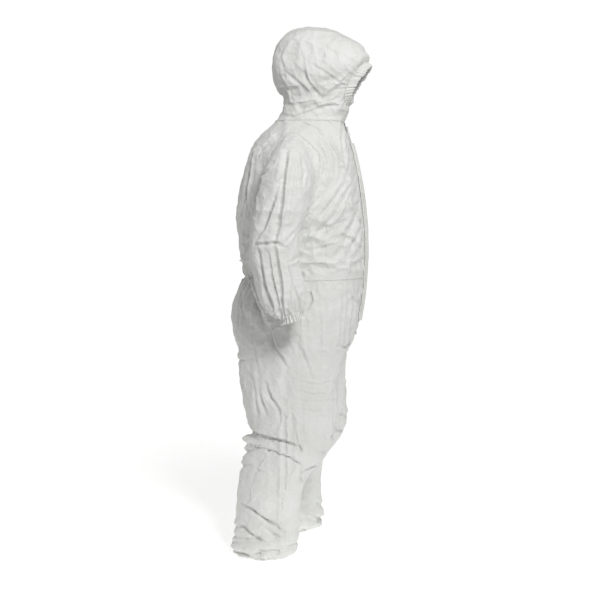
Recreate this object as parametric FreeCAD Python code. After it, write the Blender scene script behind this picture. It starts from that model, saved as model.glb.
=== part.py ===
"""Hooded chemical protective coverall, standing as if worn.

Millimetres, +Z up, the front faces -Y, the wearer's right side is -X.
Heights in this file are measured from just above the bunched hems; export moves the origin to the
shoulder line.
"forward" is a distance towards the front, so it is -Y.
"""

import FreeCAD
import Part

import math
import os

from FreeCAD import Vector

os.makedirs("parts", exist_ok=True)

# Driving dimensions
SHOULDER_LINE = 1400.0  # height of the origin
WALL = 2.4  # thickness that stands for the fabric and the air in its folds
GAP = 0.5  # clearance between bodies that move apart
SAME_BODY_GAP = 0.5  # clearance where one stretch of a limb follows another
SAME_WAY = 1  # both edges of a ruled face are drawn in the same direction
HEM_UP = -22.0  # the trousers bunch a little below the level that heights are measured from
CROTCH_UP = 660.0
WAIST_UP = 915.0
COLLAR_UP = 1430.0
HOOD_UP = 1475.0  # lower edge of the hood proper

# The front closure follows one arc in the middle plane
ARC_RADIUS = 1286.0
ARC_FORWARD = -1060.0  # centre of the arc, so it lies behind the back
ARC_UP = 1000.0
ZIP_LOW_UP = 757.0
ZIP_HIGH_UP = 1429.0
SLIDER_UP = 1412.0
FLAP_LOW_UP = 766.0
FLAP_HIGH_UP = 1360.0

SIDES = {"right": 1.0, "left": -1.0}


# Small helpers


def arc_forward(up):
    """Forward distance of the closure arc at a height."""
    return ARC_FORWARD + math.sqrt(ARC_RADIUS**2 - (up - ARC_UP) ** 2)


def point(x, forward, up):
    return Vector(x, -forward, up)


def save(node, *solids):
    """Writes one node, moved so that the origin lies on the shoulder line."""
    moved = []
    for solid in solids:
        for piece in solid.Solids:
            copy = piece.copy()
            copy.translate(Vector(0, 0, -SHOULDER_LINE))
            moved.append(copy)
    shape = moved[0] if len(moved) == 1 else Part.makeCompound(moved)
    for piece in moved:
        if not piece.isValid() or piece.Volume <= 0:
            print("BAD SOLID in", node, piece.isValid(), piece.Volume)
    shape.exportStep("parts/" + node + ".step")
    print(node, len(moved), round(shape.Volume / 1000, 1), "cm3")


def section(centre, wide, front, back, square=2.0, across=Vector(1, 0, 0), rear=Vector(0, 1, 0)):
    """An oval cut: half widths along across and towards the front and back; square 2 is an ellipse."""
    return {
        "centre": centre, "wide": wide, "front": front, "back": back,
        "square": square, "across": across, "rear": rear,
    }


def level(x, forward, up, wide, front, back, square=2.0):
    """A horizontal oval whose front and back are given as forward distances."""
    middle = (front + back) / 2
    deep = (front - back) / 2
    return section(point(x, forward + middle, up), wide, deep, deep, square)


def limb(x, forward, up, wide, deep, along):
    """An oval square to a limb that runs along a direction (x, forward, up)."""
    run = Vector(along[0], -along[1], along[2]).normalize()
    across = Vector(1, 0, 0) - run * run.x
    across.normalize()
    rear = run.cross(across)
    if rear.y < 0:
        rear = rear * -1
    return section(point(x, forward, up), wide, deep, deep, 2.0, across, rear)


def slanted(inner, outer, forward, deep, side):
    """An oval through an inner and an outer point (x, height), level from front to back."""
    low = point(inner[0] * side, forward, inner[1])
    high = point(outer[0] * side, forward, outer[1])
    across = ((low - high) * side).normalize()
    return section((low + high) * 0.5, (high - low).Length / 2, deep, deep, 2.0, across)


def on_oval(s, degrees, grow=0.0):
    """The point of a section at an angle: 90 is the back and 270 the front."""
    turn = math.radians(degrees)
    power = 2.0 / s["square"]
    deep = s["back"] if math.sin(turn) >= 0 else s["front"]
    cosine, sine = math.cos(turn), math.sin(turn)
    sideways = s["across"] * ((s["wide"] + grow) * math.copysign(abs(cosine) ** power, cosine))
    backwards = s["rear"] * ((deep + grow) * math.copysign(abs(sine) ** power, sine))
    return s["centre"] + sideways + backwards


def angle_at(s, sideways):
    """How far from the middle line, in degrees, a section is a distance to the side."""
    return math.degrees(math.asin((sideways / s["wide"]) ** (s["square"] / 2.0)))


def ring(s, grow=0.0, count=24):
    """A closed smooth wire round a section."""
    points = [on_oval(s, 360.0 * i / count, grow) for i in range(count)]
    curve = Part.BSplineCurve()
    curve.interpolate(Points=points, PeriodicFlag=True)
    return Part.Wire([curve.toShape()])


def wrapped_surface(sections, grow, count=25):
    """A smooth closed surface round all sections, and its running parameter at each section."""
    angles = [360.0 * i / (count - 1) for i in range(count)]
    whole = Part.BSplineSurface()
    whole.interpolate([[on_oval(s, a, grow) for a in angles] for s in sections])
    stations = [whole.parameter(on_oval(s, angles[3], grow))[0] for s in sections]
    return whole, stations


def half_surfaces(wrapped, first, last, trim):
    """The two halves of a wrapped surface between two sections, trimmed by a share of its run."""
    whole, stations = wrapped
    v0, v1 = whole.bounds()[2:]
    cut = (stations[last] - stations[first]) * trim
    halves = []
    for start, stop in ((v0, (v0 + v1) / 2), ((v0 + v1) / 2, v1)):
        half = whole.copy()
        half.segment(stations[first] + cut, stations[last] - cut, start, stop)
        halves.append(half)
    return halves


def tube(sections, wall=WALL, grow=0.0, first=0, last=None):
    """A hollow, open-ended piece of a limb from one section to another, on the whole limb's surface."""
    last = len(sections) - 1 if last is None else last
    run = sum((sections[i + 1]["centre"] - sections[i]["centre"]).Length for i in range(first, last))
    faces = []
    for outer, inner in zip(*[
        half_surfaces(wrapped_surface(sections, out), first, last, 0.5 * SAME_BODY_GAP / run)
        for out in (grow, grow - wall)
    ]):
        faces += [outer.toShape(), inner.toShape()]
        for end in (0, 1):
            edges = [half.uIso(half.bounds()[end]).toShape() for half in (outer, inner)]
            faces.append(Part.makeRuledSurface(*edges, SAME_WAY))
    shell = Part.makeCompound(faces)
    shell.sewShape(0.01)
    solid = Part.Solid(shell.Shells[0])
    if solid.Volume < 0:
        solid.reverse()
    return solid


def panel(sections, start, stop, wall=WALL, grow=0.0, count=9):
    """A curved sheet between two angles of each section. start and stop may depend on the section."""
    wires = []
    for s in sections:
        first = start(s) if callable(start) else start
        last = stop(s) if callable(stop) else stop
        angles = [first + (last - first) * i / (count - 1) for i in range(count)]
        edges = []
        for order, out in ((angles, grow), (angles[::-1], grow - wall)):
            curve = Part.BSplineCurve()
            curve.interpolate(Points=[on_oval(s, a, out) for a in order])
            edges.append(curve)
        ends = [(c.StartPoint, c.EndPoint) for c in edges]
        wires.append(
            Part.Wire([
                edges[0].toShape(),
                Part.LineSegment(ends[0][1], ends[1][0]).toShape(),
                edges[1].toShape(),
                Part.LineSegment(ends[1][1], ends[0][0]).toShape(),
            ])
        )
    return Part.makeLoft(wires, True)


def box(x0, x1, forward0, forward1, up0, up1):
    corner = Vector(min(x0, x1), -max(forward0, forward1), min(up0, up1))
    return Part.makeBox(abs(x1 - x0), abs(forward1 - forward0), abs(up1 - up0), corner)


# Bodice: two front and two back panels from the collar to the waist

COLLAR = (108.0, -85.0)  # half width and back of the neck opening
bodice_rows = [
    (WAIST_UP + 1.0, 192.0, -200.0),
    (1000.0, 198.0, -206.0),
    (1100.0, 198.0, -215.0),
    (1200.0, 196.0, -207.0),
    (1290.0, 192.0, -186.0),
    (1350.0, 178.0, -165.0),
    (1395.0, 141.0, -130.0),
    (COLLAR_UP, COLLAR[0], COLLAR[1]),
]
TRUNK_SQUARE = 2.3
SEAT_SQUARE = 2.9
ZIP_EDGE = 9.0  # half width of the slot that the zip fills


def trunk_section(up, wide, back):
    return section(point(0, 0, up), wide, arc_forward(up), -back, TRUNK_SQUARE)


def front_start_left(s):
    return 270.0 + angle_at(s, ZIP_EDGE)


def front_stop_right(s):
    return 270.0 - angle_at(s, ZIP_EDGE)


ARMHOLE_LOW = (-199.0, 1120.0)  # the armhole's plane, as (x, height) at its foot and its top
ARMHOLE_HIGH = (-158.0, 1392.0)


def outside_armhole(side):
    """Everything beyond one armhole's plane."""
    low = point(ARMHOLE_LOW[0] * side, 0, ARMHOLE_LOW[1])
    high = point(ARMHOLE_HIGH[0] * side, 0, ARMHOLE_HIGH[1])
    run = (high - low).normalize()
    out = run.cross(Vector(0, 1, 0))
    if out.x * side > 0:
        out = out * -1
    reach = 400.0
    start = low - run * 300.0 - Vector(0, 1, 0) * reach
    corners = [start, start + run * 900.0, start + run * 900.0 + out * reach, start + out * reach]
    return Part.Face(Part.makePolygon([*corners, corners[0]])).extrude(Vector(0, 2 * reach, 0))


bodice = [trunk_section(*row) for row in bodice_rows]
beyond = {side: outside_armhole(sign) for side, sign in SIDES.items()}
save("front_panel_right", panel(bodice, 180.0, front_stop_right).cut(beyond["right"]))
save("front_panel_left", panel(bodice, front_start_left, 360.0).cut(beyond["left"]))
save("back_panel_right", panel(bodice, 90.0, 180.0).cut(beyond["right"]))
save("back_panel_left", panel(bodice, 0.0, 90.0).cut(beyond["left"]))

# Seat: two front and two back panels from the waist to the crotch

seat_rows = [
    (CROTCH_UP + 2.0, 205.0, -218.0, 170.0, SEAT_SQUARE),
    (730.0, 208.0, -233.0, arc_forward(730.0), 2.6),
    (800.0, 208.0, -239.0, arc_forward(800.0), 2.4),
    (860.0, 202.0, -222.0, arc_forward(860.0), TRUNK_SQUARE),
    (WAIST_UP - 1.0, 192.0, -200.0, arc_forward(WAIST_UP - 1.0), TRUNK_SQUARE),
]
seat = [section(point(0, 0, up), wide, front, -back, square) for up, wide, back, front, square in seat_rows]
below_zip = box(-ZIP_EDGE + 0.2, ZIP_EDGE - 0.2, 120.0, 260.0, CROTCH_UP, ZIP_LOW_UP - 1.0)
save("seat_front_right", panel(seat, 180.0, front_stop_right))
save("seat_front_left", panel(seat, front_start_left, 360.0))
save("seat_back_right", panel(seat, 90.0, 180.0))
save("seat_back_left", panel(seat, 0.0, 90.0))
save("fly_facing", panel(seat, 260.0, 280.0).common(below_zip))

# Waist: the seam ridge outside and the elastic glued inside the back

SEAM_TALL = 1.6
ELASTIC_TALL = 12.0


def waist_rows(tall):
    """The waist's section twice, half of a height below and above the waist line."""
    waist = trunk_section(WAIST_UP, *bodice_rows[0][1:])
    return [{**waist, "centre": point(0, 0, WAIST_UP + rise)} for rise in (-tall / 2, tall / 2)]


ridge = waist_rows(SEAM_TALL)
ridge_start = front_start_left(ridge[0])  # it runs from the zip round the back to the zip again
save("waist_seam", panel(ridge, ridge_start, 900.0 - ridge_start, wall=4.0, grow=0.4, count=41))
save("waist_elastic", panel(waist_rows(ELASTIC_TALL), 8.0, 172.0, wall=1.0, grow=-WALL - 3.0, count=13))

# Sleeves: a shoulder piece, the upper sleeve, an elbow piece, the forearm and the wrist elastic

ARMHOLE_GAP = 1.0  # room for the armhole seam
CUFF_BORE = 34.0
CUFF_TALL = 16.0
CUFF_OUT = 2.0  # how far the elastic stands out of the sleeve's end
CUFF_WALL = 1.6
FOREARM_RUN = (-0.07, 0.32, -1.0)  # direction of the forearm from the elbow to the cuff


def sleeve_rows(side):
    """All the sections of one sleeve, from the armhole to the cuff."""
    x = side
    forearm = (FOREARM_RUN[0] * side, *FOREARM_RUN[1:])
    return [
        slanted((-200.6, 1121.0), (-159.3, 1391.0), -8.0, 80.0, side),
        slanted((-206.0, 1104.0), (-292.0, 1325.0), -16.0, 84.0, side),
        slanted((-209.0, 1085.0), (-340.0, 1205.0), -34.0, 84.0, side),
        slanted((-211.0, 1062.0), (-352.0, 1092.0), -50.0, 82.0, side),
        limb(-284.0 * x, -53.0, 1015.0, 71.0, 84.0, (-0.07 * x, 0.02, -1.0)),
        limb(-288.0 * x, -47.0, 965.0, 69.0, 82.0, (-0.07 * x, 0.15, -1.0)),
        limb(-293.0 * x, -32.0, 905.0, 67.0, 84.0, (-0.07 * x, 0.25, -1.0)),
        limb(-297.0 * x, -14.0, 856.0, 62.0, 79.0, forearm),
        limb(-299.0 * x, 0.0, 824.0, 50.0, 58.0, forearm),
        limb(-300.0 * x, 6.0, 805.0, 38.5, 38.5, forearm),
    ]


def cylinder_ring(centre, run, bore, wall, tall):
    outer = Part.makeCylinder(bore + wall, tall, centre, run)
    return outer.cut(Part.makeCylinder(bore, tall, centre, run))


for side, sign in SIDES.items():
    rows = sleeve_rows(sign)
    seam_rows = []
    for step in (0.0, 0.9):
        low = (ARMHOLE_LOW[0] - step, ARMHOLE_LOW[1] + 2.0)
        high = (ARMHOLE_HIGH[0] - step, ARMHOLE_HIGH[1] - 2.0)
        seam_rows.append(slanted(low, high, -8.0, 80.0, sign))
    save(side + "_armhole_seam", tube(seam_rows, wall=12.0, grow=3.0))
    save(side + "_shoulder_fabric", tube(rows[:3]))
    save(side + "_upper_sleeve", tube(rows[2:], first=0, last=1))
    save(side + "_elbow_fabric", tube(rows[2:], first=1, last=3))
    save(side + "_forearm_sleeve", tube(rows[2:], first=3, last=7))
    cuff = rows[9]
    run = Vector(FOREARM_RUN[0] * sign, -FOREARM_RUN[1], FOREARM_RUN[2]).normalize()
    start = cuff["centre"] - run * (CUFF_TALL - CUFF_OUT)
    save(side + "_wrist_elastic", cylinder_ring(start, run, CUFF_BORE, CUFF_WALL, CUFF_TALL))

# Legs: a hip piece, the thigh, a knee piece, the lower leg, the drawn-in hem and the ankle elastic

ANKLE_BORE = 54.8
ANKLE_WALL = 1.4
ANKLE_TALL = 16.0
LEFT_FOOT_AHEAD = 60.0  # how far the left hem stands ahead of the right one
# height, distance from the middle, half width, front and back as forward distances
leg_rows = [
    (CROTCH_UP - 1.0, 103.0, 97.0, 158.0, -205.0),
    (600.0, 108.0, 101.0, 143.0, -201.0),
    (540.0, 114.0, 102.0, 141.0, -189.0),
    (480.0, 120.0, 101.0, 139.0, -173.0),
    (430.0, 125.0, 99.0, 138.0, -163.0),
    (360.0, 133.0, 95.0, 118.0, -168.0),
    (315.0, 138.0, 93.0, 88.0, -180.0),
    (240.0, 143.0, 90.0, 32.0, -195.0),
    (140.0, 145.0, 86.0, 16.0, -203.0),
    (50.0, 146.0, 84.0, 14.0, -212.0),
    (-4.0, 146.0, 82.0, 8.0, -224.0),
    (HEM_UP + 1.0, 146.0, 60.0, -42.0, -162.0),
]


def leg_sections(side):
    ahead = 0.0 if side > 0 else LEFT_FOOT_AHEAD
    rows = []
    for up, out, wide, front, back in leg_rows:
        shift = ahead * (1.0 - up / CROTCH_UP)
        rows.append(level(-out * side, shift, up, wide, front, back))
    return rows


for side, sign in SIDES.items():
    rows = leg_sections(sign)
    save(side + "_hip_fabric", tube(rows, first=0, last=2))
    save(side + "_thigh", tube(rows, first=2, last=3))
    save(side + "_knee_fabric", tube(rows, first=3, last=6))
    save(side + "_lower_leg", tube(rows, first=6, last=9))
    save(side + "_hem_fabric", tube(rows, first=9, last=11))
    foot = rows[-1]["centre"]
    start = Vector(foot.x, foot.y, HEM_UP)
    save(side + "_ankle_elastic", cylinder_ring(start, Vector(0, 0, 1), ANKLE_BORE, ANKLE_WALL, ANKLE_TALL))

# Crotch gusset: a web between the seat and the two legs

GUSSET_THICK = 1.8
gusset_room = -0.3  # it stays inside the seat's own edge
floor_of_seat = Part.Face(ring(seat[0], gusset_room)).extrude(Vector(0, 0, -GUSSET_THICK))
for sign in SIDES.values():
    leg_hole = Part.Face(ring(leg_sections(sign)[0], -WALL)).extrude(Vector(0, 0, 3 * GUSSET_THICK))
    leg_hole.translate(Vector(0, 0, -GUSSET_THICK))
    floor_of_seat = floor_of_seat.cut(leg_hole)
save("crotch_gusset", floor_of_seat)

# Neck piece and hood

# height, half width, front and back as forward distances, squareness, forward distance of the widest line
hood_rows = [
    (COLLAR_UP + GAP, 107.0, arc_forward(COLLAR_UP), -84.0, TRUNK_SQUARE, 0.0),
    (1452.0, 101.0, 160.0, -70.0, TRUNK_SQUARE, 10.0),
    (HOOD_UP, 98.0, 167.0, -61.0, 2.4, 20.0),
    (1512.0, 101.0, 172.0, -60.0, 2.8, 20.0),
    (1560.0, 113.0, 190.0, -80.0, 3.0, 20.0),
    (1605.0, 119.0, 219.0, -91.0, 2.9, 20.0),
    (1645.0, 120.0, 234.0, -92.0, 2.7, 20.0),
    (1685.0, 115.0, 217.0, -86.0, 2.4, 20.0),
    (1720.0, 98.0, 171.0, -66.0, 2.2, 25.0),
    (1743.0, 68.0, 118.0, -36.0, 2.0, 30.0),
    (1753.0, 36.0, 78.0, -8.0, 2.0, 34.0),
    (1755.5, 5.0, 40.0, 30.0, 2.0, 35.0),
]
hood_sections = [
    section(point(0, middle, up), wide, front - middle, middle - back, square)
    for up, wide, front, back, square, middle in hood_rows
]
save("neck_fabric", tube(hood_sections, first=0, last=2))

FACE_WIDE = 78.0
FACE_TALL = 74.0
FACE_UP = 1565.0
FACE_BAND = 10.0
TRIM_THICK = 1.2
TRIM_OUT = 2.0  # outer face of the hood's trim, measured from the hood's own outer face


def face_prism(wide, tall):
    """An upright oval pushed through the front of the hood."""
    plane = section(point(0, 60.0, FACE_UP), wide, tall, tall, 2.4, rear=Vector(0, 0, 1))
    return Part.Face(ring(plane)).extrude(Vector(0, -200.0, 0))


hood = hood_sections[2:]
face_hole = face_prism(FACE_WIDE, FACE_TALL)
save("hood_right", panel(hood, 90.0, 270.0, count=15).cut(face_hole))
save("hood_left", panel(hood, 270.0, 450.0, count=15).cut(face_hole))
band = face_prism(FACE_WIDE + FACE_BAND, FACE_TALL + FACE_BAND).cut(face_hole)
front_skin = panel(hood, 90.0, 270.0, wall=TRIM_THICK, grow=TRIM_OUT, count=15)
front_skin = front_skin.fuse(panel(hood, 270.0, 450.0, wall=TRIM_THICK, grow=TRIM_OUT, count=15))
save("hood_face_elastic", front_skin.common(band))

SEAM_HALF = 2.5


def seam_strip(rows, middle):
    """The folded seam that covers the joint of the hood's halves."""
    return panel(
        rows,
        lambda s: middle - angle_at(s, SEAM_HALF),
        lambda s: middle + angle_at(s, SEAM_HALF),
        wall=TRIM_THICK,
        grow=TRIM_OUT,
        count=5,
    )


save("hood_centre_seam", seam_strip(hood, 90.0), seam_strip(hood[5:], 270.0))

# Zip: everything here follows the closure arc


def on_arc(radius, up):
    turn = math.asin((up - ARC_UP) / ARC_RADIUS)
    return ARC_FORWARD + radius * math.cos(turn), ARC_UP + radius * math.sin(turn)


def arc_strip(x0, x1, out0, out1, up0, up1):
    """A strip along the arc; out0 and out1 are its faces, measured outwards from the arc."""
    middle = (up0 + up1) / 2

    def at(out, up):
        forward, height = on_arc(ARC_RADIUS + out, up)
        return point(x0, forward, height)

    edges = [
        Part.Arc(at(out0, up0), at(out0, middle), at(out0, up1)).toShape(),
        Part.LineSegment(at(out0, up1), at(out1, up1)).toShape(),
        Part.Arc(at(out1, up1), at(out1, middle), at(out1, up0)).toShape(),
        Part.LineSegment(at(out1, up0), at(out0, up0)).toShape(),
    ]
    return Part.Face(Part.Wire(edges)).extrude(Vector(x1 - x0, 0, 0))


for side, sign in SIDES.items():
    tape = arc_strip(-8.7 * sign, -3.1 * sign, -1.6, -0.8, ZIP_LOW_UP, ZIP_HIGH_UP)
    coil = arc_strip(-3.0 * sign, -0.8 * sign, -2.4, 0.4, ZIP_LOW_UP + 5.0, ZIP_HIGH_UP - 5.0)
    save("zip_tape_" + side, tape)
    save("zip_coil_" + side, coil)
save(
    "zip_stops",
    arc_strip(-3.0, 3.0, -2.6, 0.8, ZIP_LOW_UP + 0.5, ZIP_LOW_UP + 4.5),
    arc_strip(-3.0, -0.8, -2.6, 0.8, ZIP_HIGH_UP - 4.5, ZIP_HIGH_UP - 1.0),
    arc_strip(0.8, 3.0, -2.6, 0.8, ZIP_HIGH_UP - 4.5, ZIP_HIGH_UP - 1.0),
)

# Slider and pull, drawn at the arc's foremost point and then turned up to their place

PIN_OUT = 4.1
PIN_UP = 2.0
PIN_RADIUS = 0.8


def slider_box(x0, x1, out0, out1, up0, up1):
    base = ARC_FORWARD + ARC_RADIUS
    return box(x0, x1, base + out0, base + out1, ARC_UP + up0, ARC_UP + up1)


def cross_bar(radius, x0, x1):
    start = point(x0, ARC_FORWARD + ARC_RADIUS + PIN_OUT, ARC_UP + PIN_UP)
    return Part.makeCylinder(radius, x1 - x0, start, Vector(1, 0, 0))


def at_rest(shape):
    turn = -math.degrees(math.asin((SLIDER_UP - ARC_UP) / ARC_RADIUS))
    copy = shape.copy()
    copy.rotate(point(0, ARC_FORWARD, ARC_UP), Vector(1, 0, 0), turn)
    return copy


slider = slider_box(-4.8, 4.8, 0.9, 2.3, -7.0, 7.0)
slider = slider.fuse(slider_box(-4.8, 4.8, -4.2, -3.0, -7.0, 7.0))
slider = slider.fuse(slider_box(-0.5, 0.5, -3.0, 0.9, 3.5, 6.5))
for x0, x1 in ((-4.8, -3.4), (3.4, 4.8)):
    slider = slider.fuse(slider_box(x0, x1, -0.4, 0.9, -7.0, 7.0))
    slider = slider.fuse(slider_box(x0, x1, -3.0, -2.0, -7.0, 7.0))
slider = slider.fuse(slider_box(-1.1, 1.1, 2.3, 5.6, PIN_UP - 2.0, PIN_UP + 2.0))
slider = slider.cut(cross_bar(PIN_RADIUS + 0.02, -2.0, 2.0)).removeSplitter()
save("zip_slider", at_rest(slider))
save("zip_pull_pin", at_rest(cross_bar(PIN_RADIUS, -3.3, 3.3)))

pull = slider_box(-3.6, 3.6, 3.5, 4.7, PIN_UP - 28.0, PIN_UP - 3.2)
for x0, x1 in ((-3.1, -1.35), (1.35, 3.1)):
    pull = pull.fuse(cross_bar(1.7, x0, x1))
    pull = pull.fuse(slider_box(x0, x1, 3.5, 4.7, PIN_UP - 3.4, PIN_UP))
pull = pull.cut(cross_bar(PIN_RADIUS + 0.05, -4.0, 4.0)).removeSplitter()
save("zip_pull", at_rest(pull))

# Storm flap over the zip, hinged on its left edge

FLAP_LEFT = 24.0
FLAP_RIGHT = -26.0
FLAP_IN = 6.5
FLAP_THICK = 1.2
flap = arc_strip(FLAP_RIGHT, FLAP_LEFT, FLAP_IN, FLAP_IN + FLAP_THICK, FLAP_LOW_UP, FLAP_HIGH_UP)
for x in (FLAP_RIGHT, FLAP_LEFT - FLAP_THICK):
    flap = flap.fuse(arc_strip(x, x + FLAP_THICK, 0.9, FLAP_IN, FLAP_LOW_UP, FLAP_HIGH_UP))
save("storm_flap", flap.removeSplitter())
save("flap_adhesive_strip", arc_strip(-24.4, -14.0, 5.9, 6.4, FLAP_LOW_UP + 5.0, FLAP_HIGH_UP - 5.0))
save("flap_stitched_edge", arc_strip(24.6, 31.0, 0.4, 1.6, FLAP_LOW_UP, FLAP_HIGH_UP))
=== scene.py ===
import math

import bmesh
import bpy
import numpy as np
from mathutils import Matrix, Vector, noise
from mathutils.bvhtree import BVHTree


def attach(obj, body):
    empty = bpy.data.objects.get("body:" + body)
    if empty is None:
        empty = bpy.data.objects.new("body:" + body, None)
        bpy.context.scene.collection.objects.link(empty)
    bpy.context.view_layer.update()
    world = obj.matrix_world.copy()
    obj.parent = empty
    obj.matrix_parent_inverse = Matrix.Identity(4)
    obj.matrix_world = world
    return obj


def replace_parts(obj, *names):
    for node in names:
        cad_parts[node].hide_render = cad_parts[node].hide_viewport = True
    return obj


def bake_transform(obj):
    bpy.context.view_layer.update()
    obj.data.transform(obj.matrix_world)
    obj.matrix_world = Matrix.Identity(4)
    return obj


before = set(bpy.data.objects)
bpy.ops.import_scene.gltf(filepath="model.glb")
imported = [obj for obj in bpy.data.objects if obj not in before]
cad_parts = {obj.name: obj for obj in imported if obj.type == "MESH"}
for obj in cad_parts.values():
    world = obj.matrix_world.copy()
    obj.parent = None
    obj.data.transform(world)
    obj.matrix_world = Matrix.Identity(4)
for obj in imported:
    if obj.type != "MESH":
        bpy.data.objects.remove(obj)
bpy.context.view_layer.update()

shoulderLine = 1400.0
closureArc = {"radius": 1286.0, "forward": -1060.0, "up": 1000.0}
rightSide, leftSide = 1.0, -1.0


# Positions are given as (x, forward, up) in millimetres, with up measured from the hems


def place(x, forward, up):
    return Vector((x / 1000, -forward / 1000, (up - shoulderLine) / 1000))


def arcForward(up):
    return closureArc["forward"] + math.sqrt(closureArc["radius"] ** 2 - (up - closureArc["up"]) ** 2)


def oval(centre, wide, front, back, square=2.0, across=(1, 0, 0), rear=(0, 1, 0)):
    return {
        "centre": Vector(centre), "wide": wide / 1000, "front": front / 1000, "back": back / 1000,
        "power": 2.0 / square, "across": Vector(across), "rear": Vector(rear),
    }


def levelOval(x, forward, up, wide, front, back, square=2.0):
    middle, deep = (front + back) / 2, (front - back) / 2
    return oval(place(x, forward + middle, up), wide, deep, deep, square)


def limbOval(x, forward, up, wide, deep, along):
    run = Vector((along[0], -along[1], along[2])).normalized()
    across = (Vector((1, 0, 0)) - run * run.x).normalized()
    rear = run.cross(across)
    return oval(place(x, forward, up), wide, deep, deep, 2.0, across, rear if rear.y > 0 else -rear)


def slantedOval(inner, outer, forward, deep, side):
    low, high = place(inner[0] * side, forward, inner[1]), place(outer[0] * side, forward, outer[1])
    across = ((low - high) * side).normalized()
    return oval((low + high) / 2, (high - low).length * 500, deep, deep, 2.0, across)


def ovalRing(cut, around, grow):
    points = []
    for i in range(around):
        turn = 2 * math.pi * i / around
        cosine, sine = math.cos(turn), math.sin(turn)
        deep = (cut["back"] if sine >= 0 else cut["front"]) + grow
        sideways = (cut["wide"] + grow) * math.copysign(abs(cosine) ** cut["power"], cosine)
        points.append(cut["centre"] + cut["across"] * sideways
                      + cut["rear"] * (deep * math.copysign(abs(sine) ** cut["power"], sine)))
    return np.array([tuple(p) for p in points])


def closedForm(name, cuts, grow=0.0, around=96, steps=8):
    rings = np.array([ovalRing(cut, around, grow / 1000) for cut in cuts])
    spaced = [rings[0]]
    for i in range(len(rings) - 1):
        before, start = rings[max(i - 1, 0)], rings[i]
        stop, after = rings[i + 1], rings[min(i + 2, len(rings) - 1)]
        spanBefore = np.linalg.norm((start - before).mean(axis=0)) or 1.0
        span = np.linalg.norm((stop - start).mean(axis=0))
        spanAfter = np.linalg.norm((after - stop).mean(axis=0)) or 1.0
        slopeIn = (stop - before) / (span + (spanBefore if i else 0.0)) * span
        slopeOut = (after - start) / (span + (spanAfter if i + 2 < len(rings) else 0.0)) * span
        for j in range(1, steps + 1):
            t = j / steps
            spaced.append(
                start * (2 * t**3 - 3 * t**2 + 1) + slopeIn * (t**3 - 2 * t**2 + t)
                + stop * (-2 * t**3 + 3 * t**2) + slopeOut * (t**3 - t**2)
            )
    count = len(spaced)
    vertices = np.vstack([*spaced, spaced[0].mean(axis=0), spaced[-1].mean(axis=0)])
    faces = []
    for row in range(count - 1):
        for i in range(around):
            a, b = row * around + i, row * around + (i + 1) % around
            faces.append((a, b, b + around, a + around))
    for i in range(around):
        nextOne = (i + 1) % around
        faces.append((nextOne, i, count * around))
        faces.append(((count - 1) * around + i, (count - 1) * around + nextOne, count * around + 1))
    mesh = bpy.data.meshes.new(name)
    mesh.from_pydata([tuple(v) for v in vertices], [], faces)
    work = bmesh.new()
    work.from_mesh(mesh)
    bmesh.ops.recalc_face_normals(work, faces=work.faces)
    work.to_mesh(mesh)
    work.free()
    return mesh


# Outlines of the worn suit, section by section. Each row starts with its height.

trunkCuts = [
    oval(place(0, 0, up), wide, front or arcForward(up), -back, square)
    for up, wide, front, back, square in (
        (640, 176, 120, -176, 2.6), (662, 195, 155, -205, 2.7), (730, 208, 0, -233, 2.6),
        (800, 208, 0, -239, 2.4), (860, 202, 0, -222, 2.3), (914, 192, 0, -200, 2.3),
        (1000, 191, 0, -206, 2.3), (1080, 191, 0, -214, 2.3), (1130, 197, 0, -214, 2.3),
        (1200, 196, 0, -207, 2.3), (1290, 192, 0, -186, 2.3), (1350, 178, 0, -165, 2.3),
        (1395, 141, 0, -130, 2.3), (1430, 108, 0, -85, 2.3), (1440, 100, 150, -76, 2.3),
    )
]
hoodCuts = [
    oval(place(0, middle, up), wide, front - middle, middle - back, square)
    for up, wide, front, back, square, middle in (
        (1418, 110, 150, -90, 2.3, 0), (1431, 107, 152, -84, 2.3, 0), (1452, 101, 160, -70, 2.3, 10),
        (1475, 98, 167, -61, 2.4, 20), (1512, 101, 172, -60, 2.8, 20), (1560, 113, 190, -80, 3.0, 20),
        (1605, 119, 219, -91, 2.9, 20), (1642, 120, 234, -92, 2.7, 20), (1679, 115, 217, -86, 2.4, 20),
        (1711, 98, 171, -66, 2.2, 25), (1733, 68, 118, -36, 2.0, 30), (1743, 36, 78, -8, 2.0, 34),
        (1746, 5, 40, 30, 2.0, 35),
    )
]


def sleeveCuts(side):
    return [
        slantedOval((-150, 1150), (-120, 1370), -8, 76, side),
        slantedOval((-200, 1121), (-159, 1391), -8, 80, side),
        slantedOval((-206, 1104), (-292, 1325), -16, 84, side),
        slantedOval((-217, 1085), (-340, 1205), -34, 84, side),
        slantedOval((-226, 1062), (-352, 1092), -50, 82, side),
        limbOval(-292 * side, -53, 1015, 62, 84, (-0.07 * side, 0.02, -1)),
        limbOval(-294 * side, -47, 965, 61, 82, (-0.07 * side, 0.15, -1)),
        limbOval(-297 * side, -32, 905, 60, 84, (-0.07 * side, 0.25, -1)),
        limbOval(-299 * side, -14, 856, 57, 79, (-0.07 * side, 0.32, -1)),
        limbOval(-299 * side, 0, 824, 50, 58, (-0.07 * side, 0.32, -1)),
        limbOval(-300 * side, 6, 805, 38.5, 38.5, (-0.07 * side, 0.32, -1)),
        limbOval(-301 * side, 10, 792, 38.5, 38.5, (-0.07 * side, 0.32, -1)),
    ]


leftFootAhead = 60.0


def footAhead(side):
    return 0.0 if side > 0 else leftFootAhead


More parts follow.
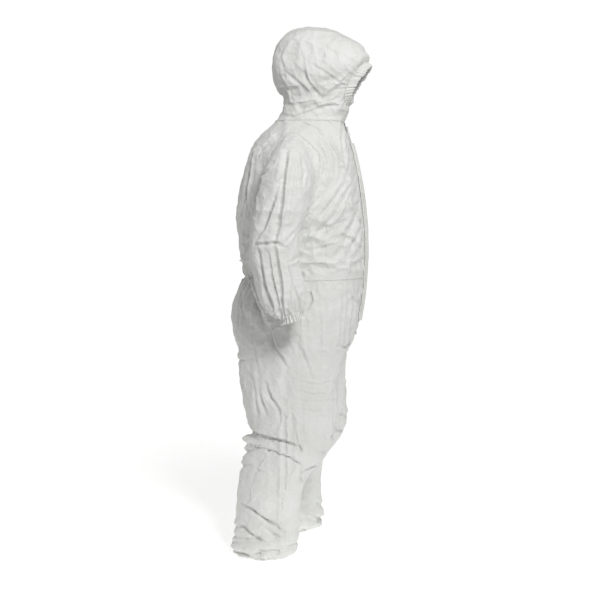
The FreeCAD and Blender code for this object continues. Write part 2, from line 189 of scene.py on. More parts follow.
def legCuts(side):
    ahead = footAhead(side)
    return [
        levelOval(-out * side, ahead * (1 - up / 660), up, wide, front, back)
        for up, out, wide, front, back in (
            (700, 100, 92, 150, -200), (659, 103, 97, 158, -205), (600, 108, 101, 143, -201),
            (540, 114, 102, 141, -189), (480, 120, 101, 139, -173), (430, 125, 99, 138, -163),
            (360, 133, 95, 118, -168), (315, 138, 93, 88, -180), (240, 143, 90, 32, -195),
            (140, 145, 86, 16, -203), (50, 146, 84, 14, -212), (0, 146, 84, 8, -226),
            (-20, 146, 60, -42, -162), (-34, 146, 60, -42, -162),
        )
    ]


def joinedForm(name, grow):
    parts = [closedForm("trunk", trunkCuts, grow), closedForm("hood", hoodCuts, grow)]
    for side in (rightSide, leftSide):
        parts += [closedForm("sleeve", sleeveCuts(side), grow), closedForm("leg", legCuts(side), grow)]
    whole = bmesh.new()
    for part in parts:
        whole.from_mesh(part)
        bpy.data.meshes.remove(part)
    mesh = bpy.data.meshes.new(name)
    whole.to_mesh(mesh)
    whole.free()
    return addPiece(name, mesh)


def addPiece(name, mesh):
    piece = bpy.data.objects.new(name, mesh)
    bpy.context.scene.collection.objects.link(piece)
    return piece


def smoothMesh(name, vertices, faces):
    mesh = bpy.data.meshes.new(name)
    mesh.from_pydata(vertices, [], faces)
    mesh.polygons.foreach_set("use_smooth", np.ones(len(faces), dtype=bool))
    return mesh


def bake(piece):
    result = bpy.data.meshes.new_from_object(piece.evaluated_get(bpy.context.evaluated_depsgraph_get()))
    old = piece.data
    piece.modifiers.clear()
    piece.data = result
    bpy.data.meshes.remove(old)


def remesh(piece, voxel, smoothing):
    step = piece.modifiers.new("even mesh", "REMESH")
    step.mode = "VOXEL"
    step.voxel_size = voxel
    soften = piece.modifiers.new("soften", "SMOOTH")
    soften.factor = 0.5
    soften.iterations = smoothing
    bake(piece)


# Folds are drawn as (forward, up) points on the suit's middle plane, seen from one viewpoint,
# and pressed into whatever stands first in that line of sight: (points, depth, width)

viewpoint = place(-3580, 376, 1220)
sightFolds = [
    ([(-45, 1340), (-55, 1265), (-65, 1185), (-80, 1060), (-90, 1030)], 17, 9),
    ([(-65, 1245), (-105, 1135), (-135, 1065), (-160, 1030)], 15, 9),
    ([(-90, 1305), (-125, 1260), (-155, 1215)], 9, 8),
    ([(-130, 1280), (-150, 1185), (-160, 1120)], 6, 8),
    ([(-30, 1290), (-25, 1205), (-40, 1120), (-55, 1040)], 5, 8),
    ([(-160, 1020), (-130, 1020), (-85, 1025), (-50, 1010)], 9, 7),
    ([(-90, 1020), (-80, 955), (-70, 880), (-65, 810), (-65, 775)], 13, 8),
    ([(-145, 1000), (-135, 935), (-120, 860), (-90, 785)], 10, 8),
    ([(-110, 990), (-100, 915), (-80, 830), (-70, 780)], 7, 6),
    ([(-40, 1000), (-45, 955), (-30, 895), (-40, 830)], 5, 8),
    ([(-15, 1060), (-35, 1040), (-55, 1020)], 8, 7),
    ([(0, 980), (-20, 965), (-45, 955)], 5, 6),
    ([(10, 915), (25, 870), (40, 830), (15, 785)], 6, 7),
    ([(-25, 880), (-5, 830), (0, 785)], 5, 6),
    ([(-15, 1340), (-10, 1270), (-5, 1205)], 5, 8),
    ([(10, 1310), (20, 1265), (10, 1215)], 6, 8),
    ([(150, 1220), (115, 1170), (75, 1120), (20, 1060)], 9, 10),
    ([(180, 1235), (155, 1175), (120, 1120), (50, 1045)], 9, 9),
    ([(195, 1130), (170, 1060), (135, 990)], 8, 9),
    ([(210, 1085), (195, 1040), (175, 1010)], 5, 8),
    ([(50, 1410), (90, 1380), (120, 1335), (145, 1285), (165, 1230)], 7, 8),
    ([(75, 1390), (115, 1340), (125, 1305), (120, 1260)], 6, 7),
    ([(40, 1380), (75, 1340), (90, 1290), (80, 1245)], 5, 7),
    ([(25, 1055), (85, 1075), (145, 1095)], 4, 8),
    ([(20, 1000), (85, 1010), (155, 1030)], 4, 8),
    ([(70, 1185), (40, 1150), (20, 1120)], 5, 7),
    ([(-80, 1395), (-125, 1355), (-155, 1305)], 8, 7),
    ([(-110, 1385), (-150, 1345), (-175, 1300)], 7, 7),
    ([(-50, 1415), (-95, 1380), (-130, 1340)], 6, 7),
    ([(-170, 1290), (-185, 1205), (-190, 1120)], 6, 9),
    ([(-185, 1170), (-195, 1065), (-190, 980)], 5, 9),
    ([(-180, 885), (-165, 835), (-145, 785), (-130, 750)], 22, 14),
    ([(-110, 740), (-100, 690), (-80, 645), (-45, 595)], 11, 8),
    ([(-205, 880), (-205, 830), (-195, 765)], 6, 9),
    ([(-10, 675), (15, 630), (40, 560)], 4, 9),
    ([(-60, 725), (-45, 685), (-25, 650)], 5, 7),
    ([(-170, 710), (-160, 640), (-145, 560)], 6, 9),
    ([(-125, 540), (-105, 490), (-75, 445), (-70, 400)], 8, 8),
    ([(-145, 510), (-135, 470), (-120, 425)], 7, 8),
    ([(-170, 555), (-160, 485), (-150, 420)], 5, 9),
    ([(0, 545), (60, 535), (130, 550)], 3, 5),
    ([(-15, 515), (50, 500), (130, 510)], 3, 5),
    ([(0, 480), (70, 475), (130, 485)], 3, 5),
    ([(-15, 450), (50, 440), (125, 450)], 3, 5),
    ([(-170, 358), (-120, 344), (-60, 333), (-10, 314)], 13, 7),
    ([(-170, 322), (-95, 296), (-35, 276), (5, 248)], 11, 8),
    ([(-15, 365), (-10, 330), (0, 295)], 6, 7),
    ([(15, 225), (50, 245), (90, 260)], 10, 7),
    ([(0, 245), (5, 205), (5, 170)], 8, 7),
    ([(-165, 235), (-145, 225), (-115, 215)], 4, 6),
    ([(-155, 140), (-80, 150), (-10, 155)], 4, 8),
    ([(-130, 105), (-70, 120), (-5, 110)], 4, 8),
    ([(-210, 105), (-170, 85), (-130, 55), (-90, 30), (-45, 0)], 14, 8),
    ([(-225, 35), (-190, 10), (-150, -20), (-100, -45)], 10, 7),
    ([(-130, 25), (-85, -10), (-25, -20)], 7, 7),
    ([(20, 145), (40, 120), (60, 95)], 5, 7),
    ([(5, 95), (35, 75), (60, 65)], 6, 6),
    ([(15, 1625), (15, 1590), (25, 1565), (70, 1515)], 10, 6),
    ([(-50, 1600), (-10, 1565), (35, 1525)], 7, 6),
    ([(40, 1625), (100, 1585), (165, 1540)], 5, 6),
    ([(20, 1655), (85, 1625), (145, 1580)], 3, 6),
    ([(60, 1495), (110, 1505), (165, 1520)], 5, 5),
    ([(-60, 1495), (-25, 1490), (10, 1495), (60, 1505)], 7, 6),
    ([(-65, 1460), (-20, 1450), (25, 1465), (90, 1485), (155, 1485)], 10, 6),
    ([(85, 1440), (115, 1420), (140, 1385)], 5, 6),
    ([(0, 1435), (40, 1420), (75, 1400)], 5, 6),
    ([(0, 1680), (10, 1640), (5, 1605)], 4, 6),
    ([(-35, 1545), (-30, 1515), (-25, 1490)], 5, 5),
    ([(-70, 1655), (-55, 1605), (-50, 1565)], 4, 6),
]


# The same for the front and the back: (x, up) points, each list pressed in from straight ahead or behind

frontFolds = [
    ([(60, 1395), (95, 1350), (120, 1290), (132, 1220)], 6, 8),
    ([(45, 1370), (70, 1320), (88, 1260)], 5, 7),
    ([(-70, 1390), (-100, 1335), (-118, 1270)], 6, 8),
    ([(150, 1210), (110, 1150), (60, 1105), (34, 1085)], 7, 9),
    ([(-150, 1190), (-115, 1140), (-70, 1098), (-36, 1075)], 7, 9),
    ([(165, 1080), (120, 1045), (70, 1020), (36, 1012)], 6, 9),
    ([(-160, 1070), (-110, 1030), (-60, 1005)], 6, 9),
    ([(170, 985), (110, 960), (50, 950)], 5, 8),
    ([(130, 880), (90, 850), (40, 840)], 6, 9),
    ([(-135, 870), (-95, 835), (-40, 822)], 6, 9),
    ([(10, 730), (45, 700), (100, 690), (150, 705)], 9, 8),
    ([(-10, 725), (-50, 690), (-105, 680), (-155, 695)], 9, 8),
    ([(20, 690), (60, 650), (110, 630)], 7, 8),
    ([(-20, 685), (-65, 640), (-120, 620)], 7, 8),
    ([(165, 560), (120, 540), (60, 548)], 5, 8),
    ([(-170, 520), (-120, 500), (-60, 510)], 5, 8),
    ([(60, 420), (110, 400), (170, 425)], 8, 8),
    ([(55, 370), (105, 345), (175, 372)], 9, 8),
    ([(-60, 400), (-110, 375), (-180, 398)], 8, 8),
    ([(-60, 340), (-120, 318), (-190, 345)], 9, 8),
    ([(90, 90), (140, 60), (200, 80)], 8, 9),
    ([(80, 40), (140, 12), (210, 35)], 9, 8),
]
backFolds = [
    ([(0, 1400), (30, 1330), (50, 1250), (55, 1170)], 6, 9),
    ([(-20, 1390), (-60, 1320), (-85, 1240)], 6, 9),
    ([(85, 1360), (110, 1280), (118, 1190), (100, 1100)], 8, 9),
    ([(-95, 1350), (-125, 1270), (-130, 1180), (-110, 1100)], 8, 9),
    ([(20, 1180), (40, 1080), (30, 980)], 5, 9),
    ([(-40, 1150), (-60, 1060), (-45, 975)], 5, 9),
    ([(150, 1050), (110, 1000), (60, 975)], 7, 8),
    ([(-150, 1045), (-105, 995), (-50, 970)], 7, 8),
    ([(60, 870), (75, 800), (60, 720)], 6, 10),
    ([(-65, 865), (-85, 790), (-70, 710)], 6, 10),
    ([(15, 850), (10, 780), (0, 700)], 6, 9),
    ([(140, 840), (130, 760), (105, 690)], 7, 10),
    ([(-140, 845), (-135, 760), (-110, 690)], 7, 10),
    ([(10, 690), (60, 655), (130, 640), (180, 655)], 8, 8),
    ([(-10, 690), (-60, 650), (-130, 636), (-185, 650)], 8, 8),
    ([(150, 560), (110, 480), (95, 400)], 6, 9),
    ([(-150, 570), (-110, 490), (-95, 410)], 6, 9),
    ([(60, 350), (120, 325), (190, 345)], 12, 8),
    ([(-60, 345), (-120, 320), (-195, 350)], 12, 8),
    ([(70, 310), (130, 280), (200, 300)], 10, 8),
    ([(-70, 305), (-130, 275), (-205, 300)], 10, 8),
    ([(80, 110), (140, 75), (215, 95)], 10, 8),
    ([(-80, 105), (-145, 70), (-215, 92)], 10, 8),
    ([(75, 50), (140, 20), (215, 40)], 10, 8),
    ([(-75, 45), (-140, 15), (-215, 38)], 10, 8),
]


sightStep = {"parts": 4, "apart": 0.003}
sightSoften = {"hood": 0.5, "body": 0.85, "width": 0.85, "hoodUp": 1440, "chest": (60, 930)}
foldShape = {
    "reach": 4.5, "crease": 0.62, "lip": (1.5, 1.1, 0.6), "slope": (2.4, 1.3, 0.22), "fade": (0.92, 0.04, 0.6),
}


def castLine(tree, targets, eyes):
    hits = []
    for (start, stop), (eyeStart, eyeStop) in zip(zip(targets, targets[1:]), zip(eyes, eyes[1:])):
        for step in range(sightStep["parts"] + 1):
            target = start.lerp(stop, step / sightStep["parts"])
            eye = eyeStart.lerp(eyeStop, step / sightStep["parts"])
            hit = tree.ray_cast(eye, (target - eye).normalized())[0]
            if hit and (not hits or (hit - hits[-1]).length > sightStep["apart"]):
                hits.append(hit)
    return [list(hit) for hit in hits]


def pressFold(positions, change, normals, line, depth, width):
    if len(line) < 3:
        return
    line = np.array(line)
    reach = width * foldShape["reach"]
    near = np.all((positions > line.min(axis=0) - reach) & (positions < line.max(axis=0) + reach), axis=1)
    index = np.nonzero(near)[0]
    if not len(index):
        return
    local = positions[index]
    best = np.full(len(index), 1.0e9)
    signed = np.zeros(len(index))
    along = np.zeros(len(index))
    for i in range(len(line) - 1):
        span = line[i + 1] - line[i]
        length = max(float(span @ span), 1e-12)
        t = np.clip((local - line[i]) @ span / length, 0, 1)
        offset = local - line[i] - t[:, None] * span
        away = np.linalg.norm(offset, axis=1)
        closer = away < best
        best[closer] = away[closer]
        side = np.einsum("ij,ij->i", np.cross(normals[index], span), offset)
        signed[closer] = (np.sign(side) * away)[closer]
        along[closer] = ((i + t) / (len(line) - 1))[closer]
    stretch, start, power = foldShape["fade"]
    taper = np.sin(np.pi * np.clip(along * stretch + start, 0, 1)) ** power
    crease = np.exp(-best / (foldShape["crease"] * width))
    aside, spread, lipTall = foldShape["lip"]
    lip = np.exp(-(((signed - aside * width) / (spread * width)) ** 2))
    aside, spread, slopeTall = foldShape["slope"]
    slope = np.exp(-(((signed + aside * width) / (spread * width)) ** 2))
    push = (-crease + lipTall * lip + slopeTall * slope) * taper * depth
    change[index] += normals[index] * push[:, None]


def pressAllFolds(piece):
    tree = treeOf(piece)
    positions, normals = meshArrays(piece)
    change = np.zeros_like(positions)
    lines = []
    for points, depth, width in sightFolds:
        startForward, startUp = points[0]
        onChest = startForward > sightSoften["chest"][0] and startUp > sightSoften["chest"][1]
        softer = sightSoften["hood"] if startUp > sightSoften["hoodUp"] else sightSoften["body"]
        targets = [place(0, forward, up) for forward, up in points]
        for mirror in (1,) if onChest else (1, -1):
            eye = Vector((viewpoint.x * mirror, viewpoint.y, viewpoint.z))
            line = castLine(tree, targets, [eye] * len(targets))
            lines.append((line, depth * softer, width * sightSoften["width"]))
    for folds, ahead in ((frontFolds, 1000), (backFolds, -1000)):
        for points, depth, width in folds:
            targets = [place(x, 0, up) for x, up in points]
            lines.append((castLine(tree, targets, [place(x, ahead, up) for x, up in points]), depth, width))
    for line, depth, width in lines:
        pressFold(positions, change, normals, line, depth / 1000, width / 1000)
    setPositions(piece, positions + change)


def meshArrays(piece):
    mesh = piece.data
    positions = np.empty(len(mesh.vertices) * 3)
    normals = np.empty(len(mesh.vertices) * 3)
    mesh.vertices.foreach_get("co", positions)
    mesh.vertices.foreach_get("normal", normals)
    return positions.reshape(-1, 3), normals.reshape(-1, 3)


def setPositions(piece, positions):
    piece.data.vertices.foreach_set("co", np.ascontiguousarray(positions).ravel())
    piece.data.update()


def treeOf(piece):
    return BVHTree.FromObject(piece, bpy.context.evaluated_depsgraph_get())


def smoothStep(t):
    t = np.clip(t, 0, 1)
    return t * t * (3 - 2 * t)


# The whole suit in one skin: an even mesh, hung on a slightly smaller form and let go as cloth

waistUp, hemUp, neckUp, hipUp, kneeUp, elbowUp, armpitUp = 915, -22, 1437, 652, 505, 1030, 1066
zipSlot = {"half": 9, "low": 757, "high": 1430}
faceHole = {"wide": 68, "tall": 67, "up": 1557, "square": 2.4}
cuff = {"x": 300, "forward": 6, "up": 805, "radius": 38.5, "run": (-0.07, -0.32, -1.0)}
crumple = {"voxel": 0.011, "inner": -9, "frames": 18, "growth": -0.045, "cap": 0.010}


def faceShare(x, up):
    square = faceHole["square"]
    wideShare, tallShare = np.abs(x) / faceHole["wide"], np.abs(up - faceHole["up"]) / faceHole["tall"]
    return (wideShare**square + tallShare**square) ** (1 / square)


def heldWeight(positions):
    x, y, z = positions.T * 1000
    up, forward = z + shoulderLine, -y
    held = np.zeros(len(positions))
    for centre, tall, fade in ((waistUp, 8, 22), (1452, 8, 10), (hemUp, 8, 10)):
        held = np.maximum(held, 1 - smoothStep((np.abs(up - centre) - tall) / fade))
    held[(np.abs(up - waistUp) < 30) & (np.abs(x) > 215)] = 0
    front = (forward > 100) & (up > zipSlot["low"]) & (up < zipSlot["high"] + 10)
    held = np.maximum(held, np.where(front, 1 - smoothStep((np.abs(x) - 26) / 20), 0))
    brim = (forward > 80) & (up > neckUp)
    held = np.maximum(held, np.where(brim, 1 - smoothStep((faceShare(x, up) - 1.1) / 0.3), 0))
    wrist = np.abs(up - 800) + np.abs(np.abs(x) - cuff["x"]) * 0.3
    return np.maximum(held, np.where(np.abs(x) > 235, 1 - smoothStep((wrist - 12) / 12), 0))


def crumpleCloth(piece):
    form = joinedForm("innerForm", crumple["inner"])
    remesh(form, 0.016, 2)
    form.modifiers.new("touch", "COLLISION")
    form.collision.thickness_outer = 0.002
    before = meshArrays(piece)[0]
    held = piece.vertex_groups.new(name="held")
    for index, weight in enumerate(heldWeight(before)):
        held.add([index], float(weight), "REPLACE")
    cloth = piece.modifiers.new("cloth", "CLOTH")
    settings = cloth.settings
    settings.quality = 4
    settings.mass = 0.08
    settings.tension_stiffness = settings.compression_stiffness = 12
    settings.shear_stiffness = 4
    settings.bending_stiffness = 0.5
    settings.air_damping = 6
    settings.shrink_min = crumple["growth"]
    settings.vertex_group_mass = "held"
    settings.use_pressure = True
    settings.uniform_pressure_force = 0.4
    cloth.collision_settings.distance_min = 0.002
    cloth.point_cache.frame_start = 1
    cloth.point_cache.frame_end = crumple["frames"]
    for frameNumber in range(1, crumple["frames"] + 1):
        bpy.context.scene.frame_set(frameNumber)
    bake(piece)
    bpy.context.scene.frame_set(1)
    shift = meshArrays(piece)[0] - before
    length = np.linalg.norm(shift, axis=1)
    shift *= np.minimum(1, crumple["cap"] / np.maximum(length, 1e-9))[:, None]
    setPositions(piece, before + shift)
    print("cloth moved", round(float(length.mean()) * 1000, 1), "mm on average")
    bpy.data.objects.remove(form)


# Fine creases: ridged and cracked textures push the skin in and out by a millimetre or two

fineCreases = [
    {"kind": "MUSGRAVE", "scale": 0.085, "strength": 0.0055, "middle": 0.55},
    {"kind": "VORONOI", "scale": 0.062, "strength": 0.0045, "middle": 0.35},
    {"kind": "MUSGRAVE", "scale": 0.036, "strength": 0.0034, "middle": 0.55},
    {"kind": "VORONOI", "scale": 0.024, "strength": 0.0022, "middle": 0.35},
]


def addFineCreases(piece, share=1.0):
    for number, crease in enumerate(fineCreases):
        texture = bpy.data.textures.new("crease%d" % number, crease["kind"])
        texture.noise_scale = crease["scale"]
        if crease["kind"] == "MUSGRAVE":
            texture.musgrave_type = "RIDGED_MULTIFRACTAL"
            texture.octaves = 2
            texture.noise_intensity = 0.5
        else:
            texture.weight_1, texture.weight_2 = -1.0, 1.0
        push = piece.modifiers.new("crease%d" % number, "DISPLACE")
        push.texture = texture
        push.texture_coords = "LOCAL"
        push.strength = crease["strength"] * share
        push.mid_level = crease["middle"]
    bake(piece)


# Gathers beside every elastic: narrow pleats that die away from it

gathers = {
    "waist": {"pitch": 17, "tall": 2.8, "reach": 48, "girth": 205, "drawnIn": 9, "drawnTall": 22},
    "face": {"pitch": 13, "tall": 1.1, "reach": 30, "girth": 68, "above": 1478},
    "cuff": {"pitch": 13, "tall": 2.6, "reach": 62, "girth": 40},
    "hem": {"pitch": 43, "tall": 2.2, "reach": 45, "girth": 95},
}
kneeFold = {"up": 376, "slope": 0.22, "behind": 165, "ridge": (18, 9), "groove": (17, 15), "apart": 24}
slump = {"lean": 26, "sway": 9, "pitch": 56, "tall": 15, "middle": 15, "reach": 62}


def gatherWave(around, pitch, seed):
    wobble = np.sin(around / pitch * 1.7 + seed) * 1.3 + np.sin(around / pitch * 0.61 + 2 * seed) * 1.9
    wave = np.cos(2 * np.pi * around / pitch + wobble)
    return np.abs(wave) ** 0.7 * np.sign(wave)


def cuffFrame(side):
    run = Vector((cuff["run"][0] * side, cuff["run"][1], cuff["run"][2])).normalized()
    return place(-cuff["x"] * side, cuff["forward"], cuff["up"]), run


def waistGathers(x, y, up):
    size = gathers["waist"]
    away = np.abs(up - waistUp)
    back = smoothStep((y + 60) / 90) * (np.abs(x) < 215)
    fade = np.exp(-((away / size["reach"]) ** 1.6)) * (0.25 + 0.75 * smoothStep(away / 7))
    wave = gatherWave(np.arctan2(y, x) * size["girth"], size["pitch"], 1.0)
    drawn = size["drawnIn"] * back * np.exp(-(((up - waistUp) / size["drawnTall"]) ** 2))
    return wave * size["tall"] * back * fade - drawn


def faceGathers(x, forward, up):
    size = gathers["face"]
    brim = (forward > 80) & (up > size["above"])
    turn = np.arctan2(up - faceHole["up"], x)
    fade = np.exp(-((np.abs(faceShare(x, up) - 1) * size["girth"] / size["reach"]) ** 1.5))
    return gatherWave(turn * size["girth"], size["pitch"], 2.0) * size["tall"] * fade * brim


def cuffGathers(positions, x, up, side):
    size = gathers["cuff"]
    centre, run = cuffFrame(side)
    offset = positions - np.array(centre)
    along = -(offset @ np.array(run)) * 1000
    across = np.arctan2(offset[:, 1], offset[:, 0] * side)
    mine = (x * side < -220) & (up < 960)
    fade = np.exp(-((np.clip(along, 0, None) / size["reach"]) ** 1.6))
    return gatherWave(across * size["girth"], size["pitch"], 3.0 + side) * size["tall"] * fade * mine


def kneeBackFold(normals, x, forward, up, side):
    away = up - kneeFold["up"] + kneeFold["slope"] * (forward - footAhead(side) * 0.4 + kneeFold["behind"])
    (ridge, ridgeWide), (groove, grooveWide) = kneeFold["ridge"], kneeFold["groove"]
    rearward = np.clip(normals[:, 1], 0, 1) * (x * side < 0) * (up < 500) * (np.abs(x) < 250)
    raised = ridge * np.exp(-((away / ridgeWide) ** 2))
    return (raised - groove * np.exp(-(((away - kneeFold["apart"]) / grooveWide) ** 2))) * rearward


def hemGathers(x, forward, up, side):
    size = gathers["hem"]
    across = np.arctan2(-forward + (8 - 224) / 2 + footAhead(side), x + 146 * side)
    mine = (x * side < 0) & (up < 300)
    fade = np.exp(-((np.clip(up - hemUp, 0, None) / size["reach"]) ** 1.6))
    gathered = gatherWave(across * size["girth"], size["pitch"], 5.0 + side) * size["tall"] * fade
    level = up + slump["lean"] * np.sin(across + 0.6) + slump["sway"] * np.sin(2.3 * across + side)
    near = np.exp(-(((up - slump["middle"]) / slump["reach"]) ** 2))
    rolls = (np.abs(np.sin(level * np.pi / slump["pitch"])) ** 0.6 - 0.72) * slump["tall"] * near
    return (gathered + rolls) * mine


def addGathers(piece):
    positions, normals = meshArrays(piece)
    x, y, z = positions.T * 1000
    up, forward = z + shoulderLine, -y
    lift = waistGathers(x, y, up) + faceGathers(x, forward, up)
    for side in (rightSide, leftSide):
        lift += cuffGathers(positions, x, up, side)
        lift += kneeBackFold(normals, x, forward, up, side)
        lift += hemGathers(x, forward, up, side)
    setPositions(piece, positions + normals * (lift / 1000)[:, None])


print("stage: garment form")
smoothForm = joinedForm("smoothForm", 0.0)
garment = joinedForm("garment", 0.0)
remesh(garment, crumple["voxel"], 4)
even = garment.modifiers.new("true outline", "SHRINKWRAP")
even.target = smoothForm
soften = garment.modifiers.new("soften joins", "SMOOTH")
soften.iterations = 3
bake(garment)
bpy.data.objects.remove(smoothForm)
print("stage: cloth", len(garment.data.vertices), "points")
crumpleCloth(garment)

print("stage: finer mesh, folds and creases")
finer = garment.modifiers.new("finer", "SUBSURF")
finer.levels = 2
bake(garment)
pressAllFolds(garment)
addGathers(garment)
addFineCreases(garment)

# Cutting up: openings first, then one piece for each stretch of cloth

print("stage: cutting")


def quadArrays(mesh):
    corners = np.empty(len(mesh.loops), dtype=np.int64)
    mesh.loops.foreach_get("vertex_index", corners)
    return corners.reshape(-1, 4)


skinCo = meshArrays(garment)[0]
skinQuads = quadArrays(garment.data)
centres = skinCo[skinQuads].mean(axis=1) * 1000
faceX, faceForward, faceUp = centres[:, 0], -centres[:, 1], centres[:, 2] + shoulderLine


def beyondCuff(points, side):
    centre, run = cuffFrame(side)
    return (points - np.array(centre)) @ np.array(run) * 1000


openFace = (faceForward > 80) & (faceUp > 1478) & (faceShare(faceX, faceUp) < 1)
openZip = (faceForward > 100) & (np.abs(faceX) < zipSlot["half"])
openZip &= (faceUp > zipSlot["low"]) & (faceUp < zipSlot["high"])
openHem = faceUp < hemUp + 2
gone = openFace | openZip | openHem
sleeveLine = np.interp(faceUp, [armpitUp, 1120, 1392], [211, 204, 158])
hanging = (faceUp > 760) & (faceUp < armpitUp)
onArm = np.zeros(len(skinCo), dtype=bool)
onArm[skinQuads[hanging & (np.abs(faceX) > 300)]] = True
reached = 0
while onArm.sum() > reached:
    reached = onArm.sum()
    nearby = skinQuads[hanging]
    onArm[nearby[onArm[nearby].any(axis=1)]] = True
hangingArm = onArm[skinQuads].all(axis=1)
print("arm share of the hanging cloth", round(float((hangingArm & hanging).sum() / hanging.sum()), 2))
sleeves = {}
for side in (rightSide, leftSide):
    upper = (-faceX * side > sleeveLine) & (faceUp < 1400)
    mine = np.where(faceUp < armpitUp, hangingArm & (faceX * side < 0), upper)
    outside = beyondCuff(skinCo[skinQuads].mean(axis=1), side) > 1
    gone |= mine & outside & (faceUp < 860)
    sleeves[side] = mine
anySleeve = sleeves[rightSide] | sleeves[leftSide]
legs = (faceUp < hipUp) & ~anySleeve
hoodPart = (faceUp > neckUp) & ~anySleeve
trunkPart = ~(anySleeve | legs | hoodPart)


def cutPiece(name, mask):
    quads = skinQuads[mask & ~gone]
    used, renumbered = np.unique(quads, return_inverse=True)
    mesh = bpy.data.meshes.new(name)
    mesh.vertices.add(len(used))
    mesh.vertices.foreach_set("co", skinCo[used].ravel())
    mesh.loops.add(quads.size)
    mesh.loops.foreach_set("vertex_index", renumbered.ravel().astype(np.int32))
    mesh.polygons.add(len(quads))
    mesh.polygons.foreach_set("loop_start", np.arange(0, quads.size, 4, dtype=np.int32))
    mesh.polygons.foreach_set("use_smooth", np.ones(len(quads), dtype=bool))
    mesh.update(calc_edges=True)
    return addPiece(name, mesh)


def snapEdges(points):
    x, up = points[:, 0] * 1000, points[:, 2] * 1000 + shoulderLine
    forward = -points[:, 1] * 1000
    share = faceShare(x, up)
    rim = (forward > 80) & (up > 1478) & (np.abs(share - 1) < 0.045)
    points[rim, 0] = x[rim] / share[rim] / 1000
    points[rim, 2] = (faceHole["up"] + (up[rim] - faceHole["up"]) / share[rim] - shoulderLine) / 1000
    slot = (forward > 100) & (np.abs(np.abs(x) - zipSlot["half"]) < 2.4)
    slot &= (up > zipSlot["low"] - 2) & (up < zipSlot["high"] + 2)
    points[slot, 0] = np.sign(x[slot]) * zipSlot["half"] / 1000
    rim = np.abs(up - hemUp - 2) < 2
    points[rim, 2] = (hemUp + 2 - shoulderLine) / 1000
    for side in (rightSide, leftSide):
        centre, run = cuffFrame(side)
        along = beyondCuff(points, side)
        rim = (np.abs(along - 1) < 2) & (-x * side > 246) & (up < 860)
        points[rim] -= np.array(run) * ((along[rim] - 1) / 1000)[:, None]


snapEdges(skinCo)
setPositions(garment, skinCo)
skinTree = treeOf(garment)
sideNames = {rightSide: "right", leftSide: "left"}
cloths = {}
standsFor = (
    ("front_panel_%s", "back_panel_%s"), ("seat_front_%s", "seat_back_%s"), ("hood_%s",),
    ("%s_shoulder_fabric", "%s_upper_sleeve"), ("%s_elbow_fabric", "%s_forearm_sleeve"),
    ("%s_hip_fabric", "%s_thigh"), ("%s_knee_fabric", "%s_lower_leg", "%s_hem_fabric"),
)
for side, word in sideNames.items():
    ownHalf = faceX * side < 0
    bodice = cutPiece("bodice_" + word, trunkPart & ownHalf & (faceUp > waistUp))
    seat = cutPiece("seat_" + word, trunkPart & ownHalf & (faceUp <= waistUp))
    hood = cutPiece("hood_shell_" + word, hoodPart & ownHalf)
    sleeve = cutPiece("sleeve_" + word, sleeves[side] & (faceUp > elbowUp))
    forearm = cutPiece("forearm_cloth_" + word, sleeves[side] & (faceUp <= elbowUp))
    thigh = cutPiece("thigh_cloth_" + word, legs & ownHalf & (faceUp > kneeUp))
    shin = cutPiece("shin_cloth_" + word, legs & ownHalf & (faceUp <= kneeUp))
    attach(bodice, "trunk")
    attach(seat, "trunk")
    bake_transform(hood)
    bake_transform(sleeve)
    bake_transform(forearm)
    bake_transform(thigh)
    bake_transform(shin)
    cloths[word] = [bodice, seat, hood, sleeve, forearm, thigh, shin]
    for piece in cloths[word]:
        print(piece.name, len(piece.data.polygons), "faces",
              round(sum(p.area for p in piece.data.polygons), 3), "m2")
    for piece, names in zip(cloths[word], standsFor):
        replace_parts(piece, *[nodeName % word for nodeName in names])
bpy.data.objects.remove(garment)
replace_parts(cloths["right"][1], "crotch_gusset", "fly_facing")
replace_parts(cloths["right"][2], "neck_fabric")
allCloth = cloths["right"] + cloths["left"]

# Sewn and gathered trim is laid on the finished cloth along lines found by looking out from inside


def lookOut(origins, directions, reach=0.5):
    points, outward = [], []
    for origin, direction in zip(origins, directions):
        hit, normal, index, far = skinTree.ray_cast(origin, direction.normalized(), reach)
        if hit:
            points.append(np.array(hit))
            outward.append(np.array(normal if normal.dot(direction) > 0 else -normal))
    return np.array(points), np.array(outward)


def soften(rows, rounds, closed):
    rows = rows.copy()
    for unused in range(rounds):
        middle = (np.roll(rows, 1, axis=0) + np.roll(rows, -1, axis=0)) / 4 + rows / 2
        if not closed:
            middle[0], middle[-1] = rows[0], rows[-1]
        rows = middle
    return rows


def evenLine(points, outward, pitch, closed):
    if closed:
        points, outward = np.vstack([points, points[:1]]), np.vstack([outward, outward[:1]])
    run = np.concatenate([[0], np.cumsum(np.linalg.norm(np.diff(points, axis=0), axis=1))])
    count = max(int(run[-1] / pitch), 3)
    at = np.linspace(0, run[-1], count, endpoint=not closed)
    points = np.stack([np.interp(at, run, points[:, i]) for i in range(3)], axis=1)
    outward = np.stack([np.interp(at, run, outward[:, i]) for i in range(3)], axis=1)
    outward = soften(outward, 6, closed)
    return points, outward / np.linalg.norm(outward, axis=1)[:, None]


def crossDirections(points, outward, closed):
    ahead = np.roll(points, -1, axis=0) - np.roll(points, 1, axis=0)
    if not closed:
        ahead[0], ahead[-1] = points[1] - points[0], points[-1] - points[-2]
    ahead /= np.linalg.norm(ahead, axis=1)[:, None]
    across = np.cross(outward, ahead)
    return ahead, across / np.linalg.norm(across, axis=1)[:, None]


def stripMesh(name, rows, closed, wrapped=False):
    count, wide = rows.shape[:2]
    faces = []
    for i in range(count if closed else count - 1):
        for j in range(wide if wrapped else wide - 1):
            k, m = (i + 1) % count, (j + 1) % wide
            faces.append((i * wide + j, i * wide + m, k * wide + m, k * wide + j))
    return smoothMesh(name, rows.reshape(-1, 3).tolist(), faces)


